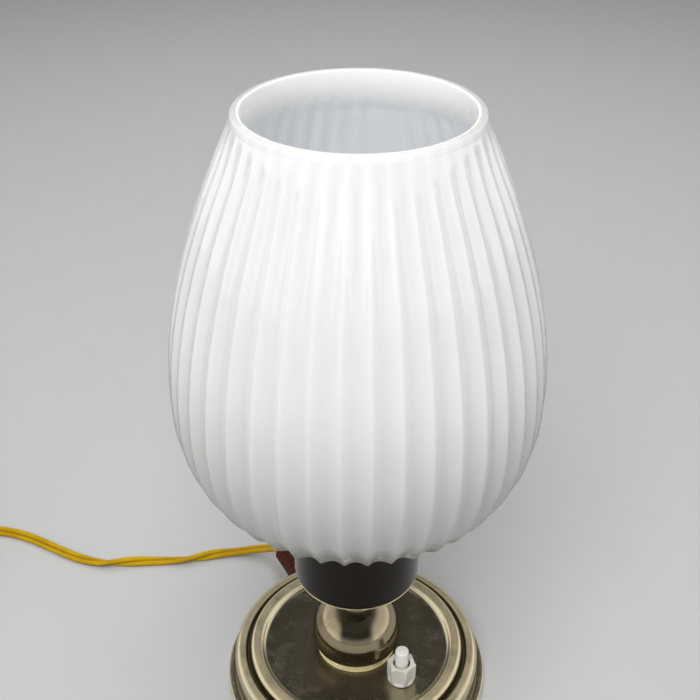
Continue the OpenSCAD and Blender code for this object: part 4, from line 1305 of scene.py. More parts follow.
        line: list[Point] = [(0.0, start - 1.4), (4.0, start - 1.4)]
        line += [(big - 0.2, start - 1.0), (big - 0.2, start), (small, start), (small, out)]
        for i in range(steps + 1):
            t = i / steps
            wave = (0.5 - 0.5 * math.cos(2 * math.pi * self.sleeve_ribs * t)) ** 3
            groove = self.rib_depth * wave if 0.06 < t < 0.94 else 0.0
            soft = 0.5 * smooth((0.04 - t) / 0.04) + 0.7 * smooth((t - 0.95) / 0.05)
            line.append((big + (small - big) * t - groove - soft, out + (end - out) * t))
        line += [(self.sleeve_bore, end), (0.0, end)]
        laid = Matrix.Rotation(math.pi / 2, 4, "Y")
        turn = Matrix.Rotation(math.radians(90 + self.exit_turn), 4, "Z") @ laid
        matrix = Matrix.Translation((0, 0, self.exit_z)) @ turn
        return lathe(line, 64, recess=dirt).moved(matrix).made("flex_sleeve")

    def tie(self) -> Thing:
        """The flat tie round the turns of the coil, with a small head on top.

        Returns:
            The new object.
        """
        room, edge = self.tie_room, self.tie_edge
        low_r = self.coil_in - self.coil_pitch * self.coil_climb / 2 - self.thick / 2 - room
        high_r = self.coil_out + self.thick / 2 + room
        low_z = self.coil_z - self.width / 2 - self.tie_under
        high_z = self.coil_z + self.coil_step + self.width / 2 + room
        t, half = self.tie_thick, self.tie_width / 2
        middle = round_box((low_r, low_z), (high_r, high_z), self.tie_bend, 6)
        centre = ((low_r + high_r) / 2, (low_z + high_z) / 2)
        rings: list[Ring] = []
        band = [(-half, edge), (-half + edge, 0), (half - edge, 0), (half, edge), (half, t - edge)]
        band += [(half - edge, t), (-half + edge, t), (-half, t - edge)]
        for i, spot in enumerate(middle):
            before, after = middle[i - 1], middle[(i + 1) % len(middle)]
            ahead = unit((after[0] - before[0], after[1] - before[1]))
            out = (ahead[1], -ahead[0])
            if out[0] * (spot[0] - centre[0]) + out[1] * (spot[1] - centre[1]) < 0:
                out = (-out[0], -out[1])
            rings.append([(spot[0] + out[0] * d, y, spot[1] + out[1] * d) for y, d in band])
        w, d = self.tie_head
        head = round_box((-w, -d), (w, d), 0.8, 4)
        block: list[Ring] = []
        for up, cut in ((0.0, 0.0), (t + 0.5, 0.0), (t + 0.9, 0.35)):
            block.append([(centre[0] + x * (1 - cut / 3), y * (1 - cut / 4), high_z + up) for x, y in head])
        shape = skin(rings, True).joined(skin(block))
        turn = Matrix.Rotation(math.radians(self.coil_from + self.tie_turn), 4, "Z")
        return shape.moved(Matrix.Translation((*self.coil_at, 0)) @ turn).made("flex_tie")

    def plug_place(self) -> Matrix:
        """The frame at the end of the coil, with X along the plug.

        Returns:
            The frame's matrix.
        """
        last, ahead = self.coil_end()
        turn = Matrix.Rotation(math.atan2(ahead.y, ahead.x), 4, "Z")
        return Matrix.Translation(last + ahead * (self.coil_exit + self.plug_gap)) @ turn

    def plug_body(self) -> Thing:
        """The moulded plug: a ribbed tail and a flat wedge with rounded edges.

        Returns:
            The new object.
        """
        count, tail_steps, body_steps = 64, 40, 24
        tail, length, rim = self.plug_tail, self.plug_length, self.rim_cut
        root_w, root_h = self.plug_root

        def ring(x: float, half_w: float, half_t: float, square: float) -> Ring:
            """One ring of the plug, from an oval at square 2 to a box with round edges above it.

            Args:
                x: Place along the plug.
                half_w: Half the width.
                half_t: Half the thickness.
                square: 2 for an oval, and more for a box with round edges.

            Returns:
                The ring's points.
            """
            points: Ring = []
            for k in range(count):
                a = 2 * math.pi * k / count
                c, s = math.cos(a), math.sin(a)
                y = half_w * math.copysign(abs(c) ** (2 / square), c)
                z = half_t * math.copysign(abs(s) ** (2 / square), s)
                points.append((x, y, z))
            return points

        rings: list[Ring] = [[(0.0, 0.0, 0.0)]]
        for i in range(tail_steps + 1):
            t = i / tail_steps
            rib = 0.5 * (0.5 - 0.5 * math.cos(2 * math.pi * self.plug_ribs * t)) if t < 0.8 else 0.0
            r = self.width * 0.75 + 2.0 * t - rib - 0.5 * smooth((0.05 - t) / 0.05)
            rings.append(ring(tail * t * 0.98, r, r, 2.0))
        for i in range(body_steps + 1):
            t = i / body_steps
            w = root_w + (self.plug_width / 2 - root_w) * min(1.0, t / 0.82) ** 0.9
            h = root_h + (self.plug_half - root_h) * smooth(t / 0.22)
            end = 0.9 * smooth((t - 0.96) / 0.04)
            x = tail - 0.4 + (length - rim) * t
            rings.append(ring(x, w - end, h - end, 2.0 + 4.0 * smooth(t / 0.35)))
        rings.append([(tail + length - rim, 0.0, 0.0)])
        return skin(rings).moved(self.plug_place()).made("plug_shell")

    def plug_pins(self) -> Thing:
        """The two round pins with domed ends.

        Returns:
            The new object.
        """
        face, r, dome = self.plug_tail + self.plug_length, self.pin_r, self.pin_dome
        start, end = face - self.pin_root, face - self.rim_cut + self.pin_length
        line = [(0.0, start), (r, start), (r, end - dome)] + arc(0.0, end - dome, dome, 50, 90, 6)
        line = [(x if z < end - 0.01 else 0.0, z) for x, z in line]
        pins = lathe(line, 40).moved(Matrix.Rotation(math.pi / 2, 4, "Y"))
        left = pins.moved(Matrix.Translation((0, -self.pin_pitch / 2, 0)))
        right = pins.moved(Matrix.Translation((0, self.pin_pitch / 2, 0)))
        return left.joined(right).moved(self.plug_place()).made("plug_prongs")


@dataclass
class GlassShade:
    """The pleated shade: a clear casing over a white opal layer."""

    pleats: int = 42
    depth: float = 2.3
    ridge_soft: float = 0.11
    fade: float = 18.0
    first_ridge: float = 3.6
    lip_r: float = 45.2
    lip_h: float = 3.6
    lip_step: float = 0.3
    lip_round: float = 1.1
    top_z: float = 287.0
    shoulder: Point = (75.7, 222.3)
    belly: Point = (75.7, 172.3)
    heel: Point = (75.7, 145.3)
    edge: Point = (61.6, 127.9)
    seat_r: float = 34.0
    hole_r: float = 21.5
    seat_z: float = 112.3
    seat_t: float = 4.2
    wall: float = 3.0
    inner_share: float = 0.4
    casing: float = 0.7
    rim_casing: float = 2.4
    rim_wall: float = 3.4
    rim_soft: float = 0.6
    foot_casing: float = 1.3
    lip_inside: float = 10.0
    lip_lean: float = 0.3
    opal_share: float = 0.9
    # Painted shade: grey in the hollows of the pleats, towards the bottom edge and on the strip under it.
    hollow_painted_shade: float = 0.23
    foot_painted_shade: float = 1.25
    foot_rise: float = 86.0
    fused: float = 0.12
    seam_turns: tuple[float, ...] = (40.9, 220.9)
    seam_at: float = 0.35
    seam_height: float = 0.25
    seam_half: float = 0.45
    wall_steps: tuple[int, int] = (52, 26)
    inner_steps: tuple[int, int] = (36, 18)
    edge_roll: Point = (3.6, 2.6)
    under_keep: float = 0.85
    foot_casing_h: float = 13.0
    foot_strip: float = 1.8
    under_painted_shade: float = 1.4
    under_share: float = 0.04
    inside_gap: float = 5.0
    # Softness of the painted shade inside, below the lip.
    inside_shade_soft: float = 6.0
    ground_h: float = 0.9
    ground_soft: float = 0.6

    def wall_top(self) -> Point:
        """Where the pleated wall meets the lip."""
        return (self.lip_r + self.lip_step, self.top_z - self.lip_h)

    def columns(self) -> list[tuple[float, float]]:
        """The angle of each column of points and its place in its pleat, from 0 to 1.

        Returns:
            Pairs of an angle in degrees and a place in the pleat.
        """
        half = (0.015, 0.035, 0.065, 0.11, 0.18, 0.27, 0.38)
        shares = (0.0, *half, 0.5, *(1 - t for t in reversed(half)))
        seam = tuple(self.seam_at + d for d in (-0.06, -0.035, -0.018, -0.006, 0.006, 0.018, 0.035, 0.06))
        pitch = 360 / self.pleats
        out: list[tuple[float, float]] = []
        for k in range(self.pleats):
            start = self.first_ridge + k * pitch
            has_seam = any((turn - start) % 360 < pitch for turn in self.seam_turns)
            inside = sorted(shares + seam) if has_seam else shares
            out += [(start + pitch * t, t) for t in inside]
        return out

    def fall(self, t: float) -> float:
        """How far a pleat falls from its crisp ridge, at 0 and 1, to its hollow, at 0.5.

        Args:
            t: Place in the pleat.

        Returns:
            The fall, from 0 to 1.
        """
        e = self.ridge_soft
        rise = math.hypot(math.sin(math.pi * t), e) - e
        return rise / (math.hypot(1.0, e) - e)

    def pleat_depth(self, z: float) -> float:
        """The depth of the pleats at a height."""
        share = min(1.0, max(0.0, (self.wall_top()[1] - z) / self.fade))
        return self.depth * math.sin(share * math.pi / 2)

    def seam(self, turn: float, r: float) -> float:
        """The height of the mould's seam at an angle.

        Args:
            turn: Angle in degrees.
            r: Radius there.

        Returns:
            The height.
        """
        out = 0.0
        for at in self.seam_turns:
            away = math.radians((turn - at + 180) % 360 - 180) * r
            out += self.seam_height * max(0.0, 1 - (away / self.seam_half) ** 2)
        return out

    def ring(self, r: float, z: float, depth: float, crisp: bool = True, seam: float = 0.0) -> Ring:
        """One ring of the glass.

        Args:
            r: Radius on the ridges.
            z: Height.
            depth: Depth of the pleats.
            crisp: Whether the ridges are crisp, as outside, or soft, as inside.
            seam: Share of the mould's seam.

        Returns:
            The ring's points.
        """
        points: Ring = []
        for turn, t in self.columns():
            fall = self.fall(t) if crisp else 0.5 - 0.5 * math.cos(2 * math.pi * t)
            rr = r - depth * fall + (seam * self.seam(turn, r) if seam else 0.0)
            a = math.radians(turn - 90)
            points.append((rr * math.cos(a), rr * math.sin(a), z))
        return points

    def wall_line(self, steps: tuple[int, int]) -> list[tuple[Point, Point]]:
        """Points of the wall on the ridges and their headings, from the top down.

        Args:
            steps: Number of steps above and below the belly.

        Returns:
            Pairs of a place and a heading.
        """
        upper = (self.wall_top(), self.shoulder, self.belly)
        lower = (self.belly, self.heel, self.edge)
        out: list[tuple[Point, Point]] = []
        for (a, b, c), n, first in ((upper, steps[0], 0), (lower, steps[1], 1)):
            out += [(bend_at(a, b, c, i / n), bend_dir(a, b, c, i / n)) for i in range(first, n + 1)]
        return out

    def inset(self, spot: Point, ahead: Point, depth: float) -> Point:
        """A point moved into the glass, square to the wall."""
        return (spot[0] + depth * ahead[1], spot[1] - depth * ahead[0])

    def layer(self, cover: float, share: float, steps: tuple[int, int], foot: float = 0.0) -> list[Vec]:
        """Radius, height and pleat depth down the wall of an inner surface.

        Args:
            cover: Thickness of glass over it in the hollows.
            share: Share of the pleats' depth that it keeps.
            steps: Number of steps above and below the belly.
            foot: Thickness that is added towards the bottom edge.

        Returns:
            The rows from the top down.
        """
        rows: list[Vec] = []
        reach = self.foot_casing_h
        for spot, ahead in self.wall_line(steps):
            depth = self.pleat_depth(spot[1])
            more = foot * smooth((self.edge[1] + reach - spot[1]) / reach)
            r, z = self.inset(spot, ahead, cover + more + depth * (1 - share))
            rows.append((r, z, depth * share))
        return rows

    def outer_rows(self) -> list[Ring]:
        """Rings of the outside, from the rim down over the wall to the underside's hole.

        Returns:
            The rings in order.
        """
        r, top, cut = self.lip_r, self.top_z, self.lip_round
        lip = arc(r - cut, top - cut, cut, 90, 0, 6)
        lip += [(r, top - self.lip_h + 0.9), (r + 0.05, top - self.lip_h + 0.4)]
        rings = [self.ring(*spot, 0.0) for spot in lip]
        for spot, _ in self.wall_line(self.wall_steps):
            depth = self.pleat_depth(spot[1])
            rings.append(self.ring(*spot, depth, seam=depth / self.depth))
        ex, ez = self.edge
        rolled = (ex - self.edge_roll[0], ez - self.edge_roll[1])
        heading, keep = bend_dir(self.belly, self.heel, self.edge, 1.0), self.under_keep
        roll = (self.edge, (ex + heading[0] * 2.0, ez + heading[1] * 2.0), rolled)
        for t in (0.2, 0.4, 0.6, 0.8, 1.0):
            rings.append(self.ring(*bend_at(*roll, t), self.depth * (1 - (1 - keep) * t)))
        under = (rolled, (ex - 12.0, ez - 7.6), (self.seat_r, self.seat_z))
        steps, soft = 8, 0.4
        for t in (i / steps for i in range(1, steps + 1)):
            rings.append(self.ring(*bend_at(*under, t), self.depth * keep * (1 - t)))
        hole = ((self.hole_r + soft, self.seat_z), (self.hole_r, self.seat_z + soft))
        return rings + [self.ring(*spot, 0.0) for spot in hole]

    def opal_outside(self, into: float) -> list[Ring]:
        """Rings of the opal's outer surface, from under the rim down to the hole.

        Args:
            into: How far the surface is moved into the opal.

        Returns:
            The rings from the top down.
        """
        ex, ez = self.edge
        lip, top, strip = self.lip_r - into, self.top_z, self.foot_strip
        rows = [(lip - self.rim_casing, top - 0.4, 0.0), (lip - self.casing - 0.1, top - 1.5, 0.0)]
        rows += [(lip - self.casing, top - self.lip_h + 0.6, 0.0)]
        wall = self.layer(self.casing + into, self.opal_share, self.wall_steps, self.foot_casing)
        rows += [row for row in wall if row[1] > ez + strip]
        rows += [(ex - 3.2 - into, ez + 1.3 + into, self.depth * 0.8)]
        rows += [(ex - 5.6 - into, ez + 0.2 + into, self.depth * 0.6)]
        rows += [(ex - 13.0, ez - 5.8 + into, self.depth * 0.2)]
        floor_z = self.seat_z + strip + into
        rows += [(self.seat_r, floor_z, 0.0), (self.hole_r, floor_z, 0.0)]
        return [self.ring(*row, seam=row[2] / self.depth) for row in rows]

    def build(self) -> None:
        """Makes both layers of the shade."""
        place(self.casing_shape().made("shade_casing", 80.0), Finishes.CASING, Slot.OPAL, "glass_shade")
        place(self.opal_shape().made("shade_opal", 60.0), Finishes.OPAL, Slot.OPAL, "glass_shade")

    def casing_shape(self) -> Shape:
        """The clear layer, whose inner face lies just inside the opal.

        Returns:
            The closed shape, with its mark.
        """
        inner = self.opal_outside(self.fused)
        top = self.ring(self.lip_r - self.rim_casing - self.fused, self.top_z - 0.35, 0.0)
        shape = skin(self.outer_rows() + inner[::-1] + [top], True)
        low, soft = self.top_z - self.ground_h, self.ground_soft
        shape.marks["ground"] = [smooth((z - low) / soft) for _, _, z in shape.points]
        return shape

    def opal_shape(self) -> Shape:
        """The white layer, with a rounded inner edge at the rim.

        Returns:
            The closed shape, with its marks.
        """
        r, top = self.lip_r, self.top_z
        inner_r, cut = r - self.rim_wall, self.rim_soft
        outside = [self.ring(r - self.rim_casing, top, 0.0)] + self.opal_outside(0.0)
        ex, ez = self.edge
        rows = [(self.hole_r, self.seat_z + self.seat_t, 0.0)]
        rows += [(self.seat_r - 1.0, self.seat_z + self.seat_t, 0.0), (ex - 14.0, ez - 2.6, 0.0)]
        wall = self.layer(self.wall, self.inner_share, self.inner_steps)[::-1]
        low = top - self.lip_inside
        rows += [row for row in wall if row[1] < low - self.inside_gap]
        rows += [(inner_r + self.lip_lean, low, 0.0), (inner_r, top - self.lip_h, 0.0)]
        rows += [(x, z, 0.0) for x, z in arc(inner_r + cut, top - cut, cut, 180, 90, 6)]
        shape = skin(outside + [self.ring(*row, crisp=False) for row in rows], True)
        # Painted shade: the hollows, the wall towards the bottom edge and the strip under it are greyed.
        hollow_shades = [self.hollow_painted_shade * self.fall(t) for _, t in self.columns()]
        count = len(hollow_shades)
        up = [(ring[0][2] - ez) / self.foot_rise for ring in outside]
        under, start = self.under_painted_shade, self.under_share
        painted_low_shade = [under if t < start else self.foot_painted_shade * smooth(1 - t) for t in up]
        shape.marks["painted_shade"] = [v + more for more in painted_low_shade for v in hollow_shades] + [0.0] * (count * len(rows))
        # Painted shade: the inside below the lip is laid over with a greyer, bluer colour.
        painted_inside_shade = [smooth((low + 2.0 - z) / self.inside_shade_soft) for _, z, _ in rows]
        shape.marks["inside"] = [0.0] * (count * len(outside)) + [v for v in painted_inside_shade for _ in range(count)]
        return shape


@dataclass
class Foot:
    """The spun foot with its beads, and what lies under it."""

    base_r: float = 62.5
    foot_h: float = 4.2
    foot_round: float = 0.8
    ring2_r: float = 58.8
    ring2_z: float = 17.6
    ring2_arc: float = 4.2
    ring2_lip: float = 1.2
    ring1_r: float = 51.4
    groove_w: float = 2.0
    groove_z: float = 14.0
    bead_x: float = 48.0
    bead_z: float = 17.1
    bead_r: float = 3.4
    fillet_x: float = 41.71
    fillet_z: float = 21.0
    fillet_r: float = 4.0
    fillet_turn: float = 31.8
    plate_z: float = 17.0
    hole_r: float = 5.15
    wall: float = 1.0
    lift: float = 0.6
    groove_soft: float = 1.3
    groove_top: float = 16.6
    step_soft: float = 0.9
    step_top: float = 6.5
    # Share of painted dark reflection on the flat plate.
    plate_painted_dark: float = 0.55
    plate_top: float = 18.5
    rim_shine: float = 0.7

    def outline(self) -> list[Point]:
        """The section of the spun sheet, over the top and back underneath.

        Returns:
            Radius and height of each point.
        """
        ring2_x, wall = self.ring2_r - self.ring2_arc, self.wall
        inner_z = self.groove_z - wall
        line = [(self.hole_r, self.plate_z), (14.0, self.plate_z), (28.0, self.plate_z)]
        line += arc(self.fillet_x, self.fillet_z, self.fillet_r, -90, -self.fillet_turn, 10)
        line += arc(self.bead_x, self.bead_z, self.bead_r, 180 - self.fillet_turn, 0, 26)
        half = self.groove_w / 2
        line += arc(self.ring1_r + half, self.groove_z + half, half, 180, 360, 12)
        line += arc(ring2_x, self.ring2_z - self.ring2_lip, self.ring2_lip, 180, 90, 8)[1:]
        line += arc(ring2_x, self.ring2_z - self.ring2_arc, self.ring2_arc, 90, 0, 14)[1:]
        cut = self.foot_round
        line += arc(self.ring2_r + cut, self.foot_h + cut, cut, 180, 270, 6)
        line += arc(self.base_r - cut, self.foot_h - cut, cut, 90, 0, 6)
        line += [(self.base_r, self.lift + 0.3), (self.base_r - 0.3, self.lift)]
        line += [(self.base_r - wall, self.lift), (self.base_r - wall, self.foot_h - wall)]
        line += [(self.ring2_r - wall, self.foot_h - wall)]
        line += arc(ring2_x, self.ring2_z - self.ring2_arc, self.ring2_arc - wall, 0, 80, 8)
        line += [(ring2_x + 0.2, inner_z), (self.ring1_r - wall, inner_z)]
        line += arc(self.bead_x, self.bead_z, self.bead_r - wall, 0, 180 - self.fillet_turn, 12)
        line += arc(self.fillet_x, self.fillet_z, self.fillet_r + wall, -self.fillet_turn, -90, 6)
        return line + [(self.hole_r, self.plate_z - wall)]

    def recess(self, r: float, z: float) -> float:
        """How much dark patina stays in the grooves, and how much the flat plate is darkened as a painted
        dark reflection.

        Args:
            r: Radius.
            z: Height.

        Returns:
            The mark, from 0 to 1.
        """
        total = 0.0
        if z < self.groove_top:
            total += math.exp(-(((r - self.ring1_r - self.groove_w / 2) / self.groove_soft) ** 2))
        if z < self.step_top:
            total += math.exp(-(((r - self.ring2_r - 0.3) / self.step_soft) ** 2))
        # Painted dark reflection: the flat plate is darkened through the patina.
        if z < self.plate_top:
            total += self.plate_painted_dark * smooth((self.fillet_x + 1.5 - r) / 3.0)
        return min(1.0, total)

    def worn(self, r: float, z: float) -> float:
        """How bright a point is rubbed: on the crests of the beads and the outer edge.

        Args:
            r: Radius.
            z: Height.

        Returns:
            The mark, from 0 to 1.
        """
        bead = smooth((z - self.bead_z - self.bead_r * 0.45) / (self.bead_r * 0.5))
        ring = smooth((z - self.ring2_z + 1.6) / 1.4) if self.ring1_r + 2 < r < self.ring2_r else 0.0
        rim = self.rim_shine * smooth((r - self.base_r + 1.2) / 0.8)
        return max(bead, ring, rim)

    def build(self) -> None:
        """Makes the foot and dresses what is inside it."""
        shell = lathe(self.outline(), 256, recess=self.recess, worn=self.worn).made("foot_shell")
        place(shell, Finishes.PLATE, Slot.PLATED, "base_shell")
        dress_nodes(Finishes.IRON, "base_weight")
        dress_nodes(Finishes.STEEL, "bottom_plate")
        dress_nodes(Finishes.FELT, "felt_pad")


@dataclass
class Stem:
    """The threaded tube with its nuts, the brass collar, the ball, the neck and the cup."""

    hole_r: float = 5.15
    collar_r: float = 17.8
    collar_z: float = 17.05
    collar_h: float = 5.5
    collar_foot: float = 0.9
    ball_r: float = 20.8
    ball_z: float = 27.6
    ball_low: float = 22.6
    ball_flat: float = 9.0
    ball_wall: float = 1.4
    neck_r: float = 8.0
    neck_z: float = 46.4
    neck_h: float = 15.5
    cup_r: float = 28.4
    cup_z: float = 61.95
    cup_h: float = 48.0
    cup_dish: float = 5.2
    cup_round: float = 4.0
    cup_rim_r: float = 33.0
    cup_wall: float = 1.0
    gasket_w: float = 6.0
    gasket_z: float = 110.0
    gasket_t: float = 2.0

    def build(self) -> None:
        """Makes the pieces of the stem that show and dresses the rest."""
        place(self.collar(), Finishes.COLLAR, Slot.BRASS, "stem_collar")
        place(self.ball(), Finishes.BALL, Slot.PLATED, "stem_knob")
        place(self.neck(), Finishes.PLATE, Slot.PLATED, "stem_neck")
        place(self.cup(), Finishes.CUP_PAINTED_DARK, Slot.PLATED, "shade_cup")
        place(self.gasket(), Finishes.RUBBER, Slot.RUBBER, "cup_gasket")
        dress_nodes(Finishes.STEEL, "stem_tube", "stem_nut", "stem_washer", "cup_locknut")

    def collar(self) -> Thing:
        """The collar, with a rounded foot and a side that leans in above a fine groove.

        Returns:
            The new object.
        """
        r, z, h = self.collar_r + self.collar_foot, self.collar_z, self.collar_h

        def dirt(x: float, y: float) -> float:
            """Dirt in the fine groove."""
            return 1.0 if z + 1.0 < y < z + 1.3 and x > r - 1 else 0.0

        low, high = 0.5, 0.8
        line = [(self.hole_r, z)] + arc(r - low, z + low, low, -90, 30, 6)
        line += [(r - 0.25, z + 0.95), (r - 0.42, z + 1.05), (r - 0.38, z + 1.25)]
        line += bend((r - 0.3, z + 1.35), (r - 1.0, z + 2.8), (r - 2.4, z + h - 0.9), 8)
        line += arc(r - 3.2, z + h - high, high, 10, 90, 5) + [(self.hole_r, z + h)]
        return lathe(line, 160, recess=dirt).made("collar_ring")

    def ball(self) -> Thing:
        """The polished ball, rolled in at the bottom and flat under the neck.

        Returns:
            The new object.
        """
        low = math.degrees(-math.asin((self.ball_z - self.ball_low) / self.ball_r))
        high = math.degrees(math.acos(self.ball_flat / self.ball_r))
        line = arc(0.0, self.ball_z, self.ball_r, low + 1.4, high, 56)
        top = self.ball_z + self.ball_r * math.sin(math.radians(high))
        wall, foot = self.ball_wall, self.ball_low
        line += [(self.hole_r, top), (self.hole_r, top - 2 * wall)]
        line += arc(0.0, self.ball_z, self.ball_r - wall, 65, -10, 12)
        line += [(self.collar_r - 3.0, foot + wall), (self.collar_r - 3.0, foot)]
        line += [(line[0][0] - 0.7, foot), (line[0][0] - 0.15, foot + 0.15)]

        def dirt(_: float, z: float) -> float:
            """Dirt at the ball's foot and under the neck."""
            return max(smooth((foot + wall - z) / wall), smooth((z - top + 1.2) / 1.2))

        return lathe(line, 192, recess=dirt).made("ball_knob")

    def neck(self) -> Thing:
        """The short neck between two rolled edges.

        Returns:
            The new object.
        """
        r, z, h, foot = self.neck_r, self.neck_z, self.neck_h, self.neck_r + 0.8
        roll, roll_z, edge = 0.6, 0.75, 1.5

        def dirt(x: float, y: float) -> float:
            """Dirt beside the rolled edges."""
            away = min(y - z, z + h - y)
            return smooth((foot - 0.3 - x) / 0.5) * smooth(1 - (away - edge) / edge)

        line = [(self.hole_r, z)] + arc(foot - roll, z + roll_z, roll, -90, 90, 8)
        line += bend((r + 0.1, z + edge), (r, z + 1.6), (r, z + 2.4), 3) + [(r, z + h / 2)]
        line += bend((r, z + h - 2.4), (r, z + h - 1.6), (r + 0.1, z + h - edge), 3)
        line += arc(foot - roll, z + h - roll_z, roll, -90, 90, 8) + [(self.hole_r, z + h)]
        return lathe(line, 128, recess=dirt).made("neck_sleeve")

    def cup(self) -> Thing:
        """The spun cup with a bead on its lower edge, painted bright as a highlight, and a rim turned out
        under the glass.

        Returns:
            The new object.
        """
        lean, bead, bead_turn = 20.0, 0.42, -40.0
        wall, top = self.cup_wall, self.cup_z + self.cup_h
        round_x, round_z = self.cup_r - self.cup_round, self.cup_z + self.cup_dish + self.cup_round
        flat_r = self.neck_r + 1.5
        line = [(self.hole_r, self.cup_z), (flat_r, self.cup_z)]
        line += arc(round_x, round_z, self.cup_round, -90 + lean, bead_turn - 6, 8)
        bead_x = round_x + self.cup_round * math.cos(math.radians(bead_turn))
        bead_z = round_z + self.cup_round * math.sin(math.radians(bead_turn))
        line += arc(bead_x, bead_z, bead, bead_turn - 80, bead_turn + 80, 10)
        line += arc(round_x, round_z, self.cup_round, bead_turn + 6, 0, 12)
        line += [(self.cup_r, round_z + 12), (self.cup_r, top - wall - 1.6)]
        under = top - wall
        line += bend((self.cup_r, under - 1.0), (self.cup_r, under), (self.cup_r + 1.0, under), 4)
        line += arc(self.cup_rim_r - wall / 2, top - wall / 2, wall / 2, -90, 90, 8)
        line += [(self.cup_r - wall, top)]
        line += arc(round_x, round_z, self.cup_round - wall, 0, -90 + lean, 10)
        line += [(flat_r, self.cup_z + wall), (self.hole_r, self.cup_z + wall)]

        def worn(r: float, z: float) -> float:
            """Painted highlight on the bead."""
            return 1.0 if math.hypot(r - bead_x, z - bead_z) < bead + 0.03 else 0.0

        return lathe(line, 192, worn=worn).made("cup_shell")

    def gasket(self) -> Thing:
        """The soft ring under the glass.

        Returns:
            The new object.
        """
        low, high = self.cup_rim_r - self.gasket_w, self.cup_rim_r
        z0, z1 = self.gasket_z, self.gasket_z + self.gasket_t
        line = rounded([(low, z0, 0.5), (high, z0, 0.8), (high, z1, 0.8), (low, z1, 0.5)], 5)
        return lathe(line, 160).made("seat_gasket")


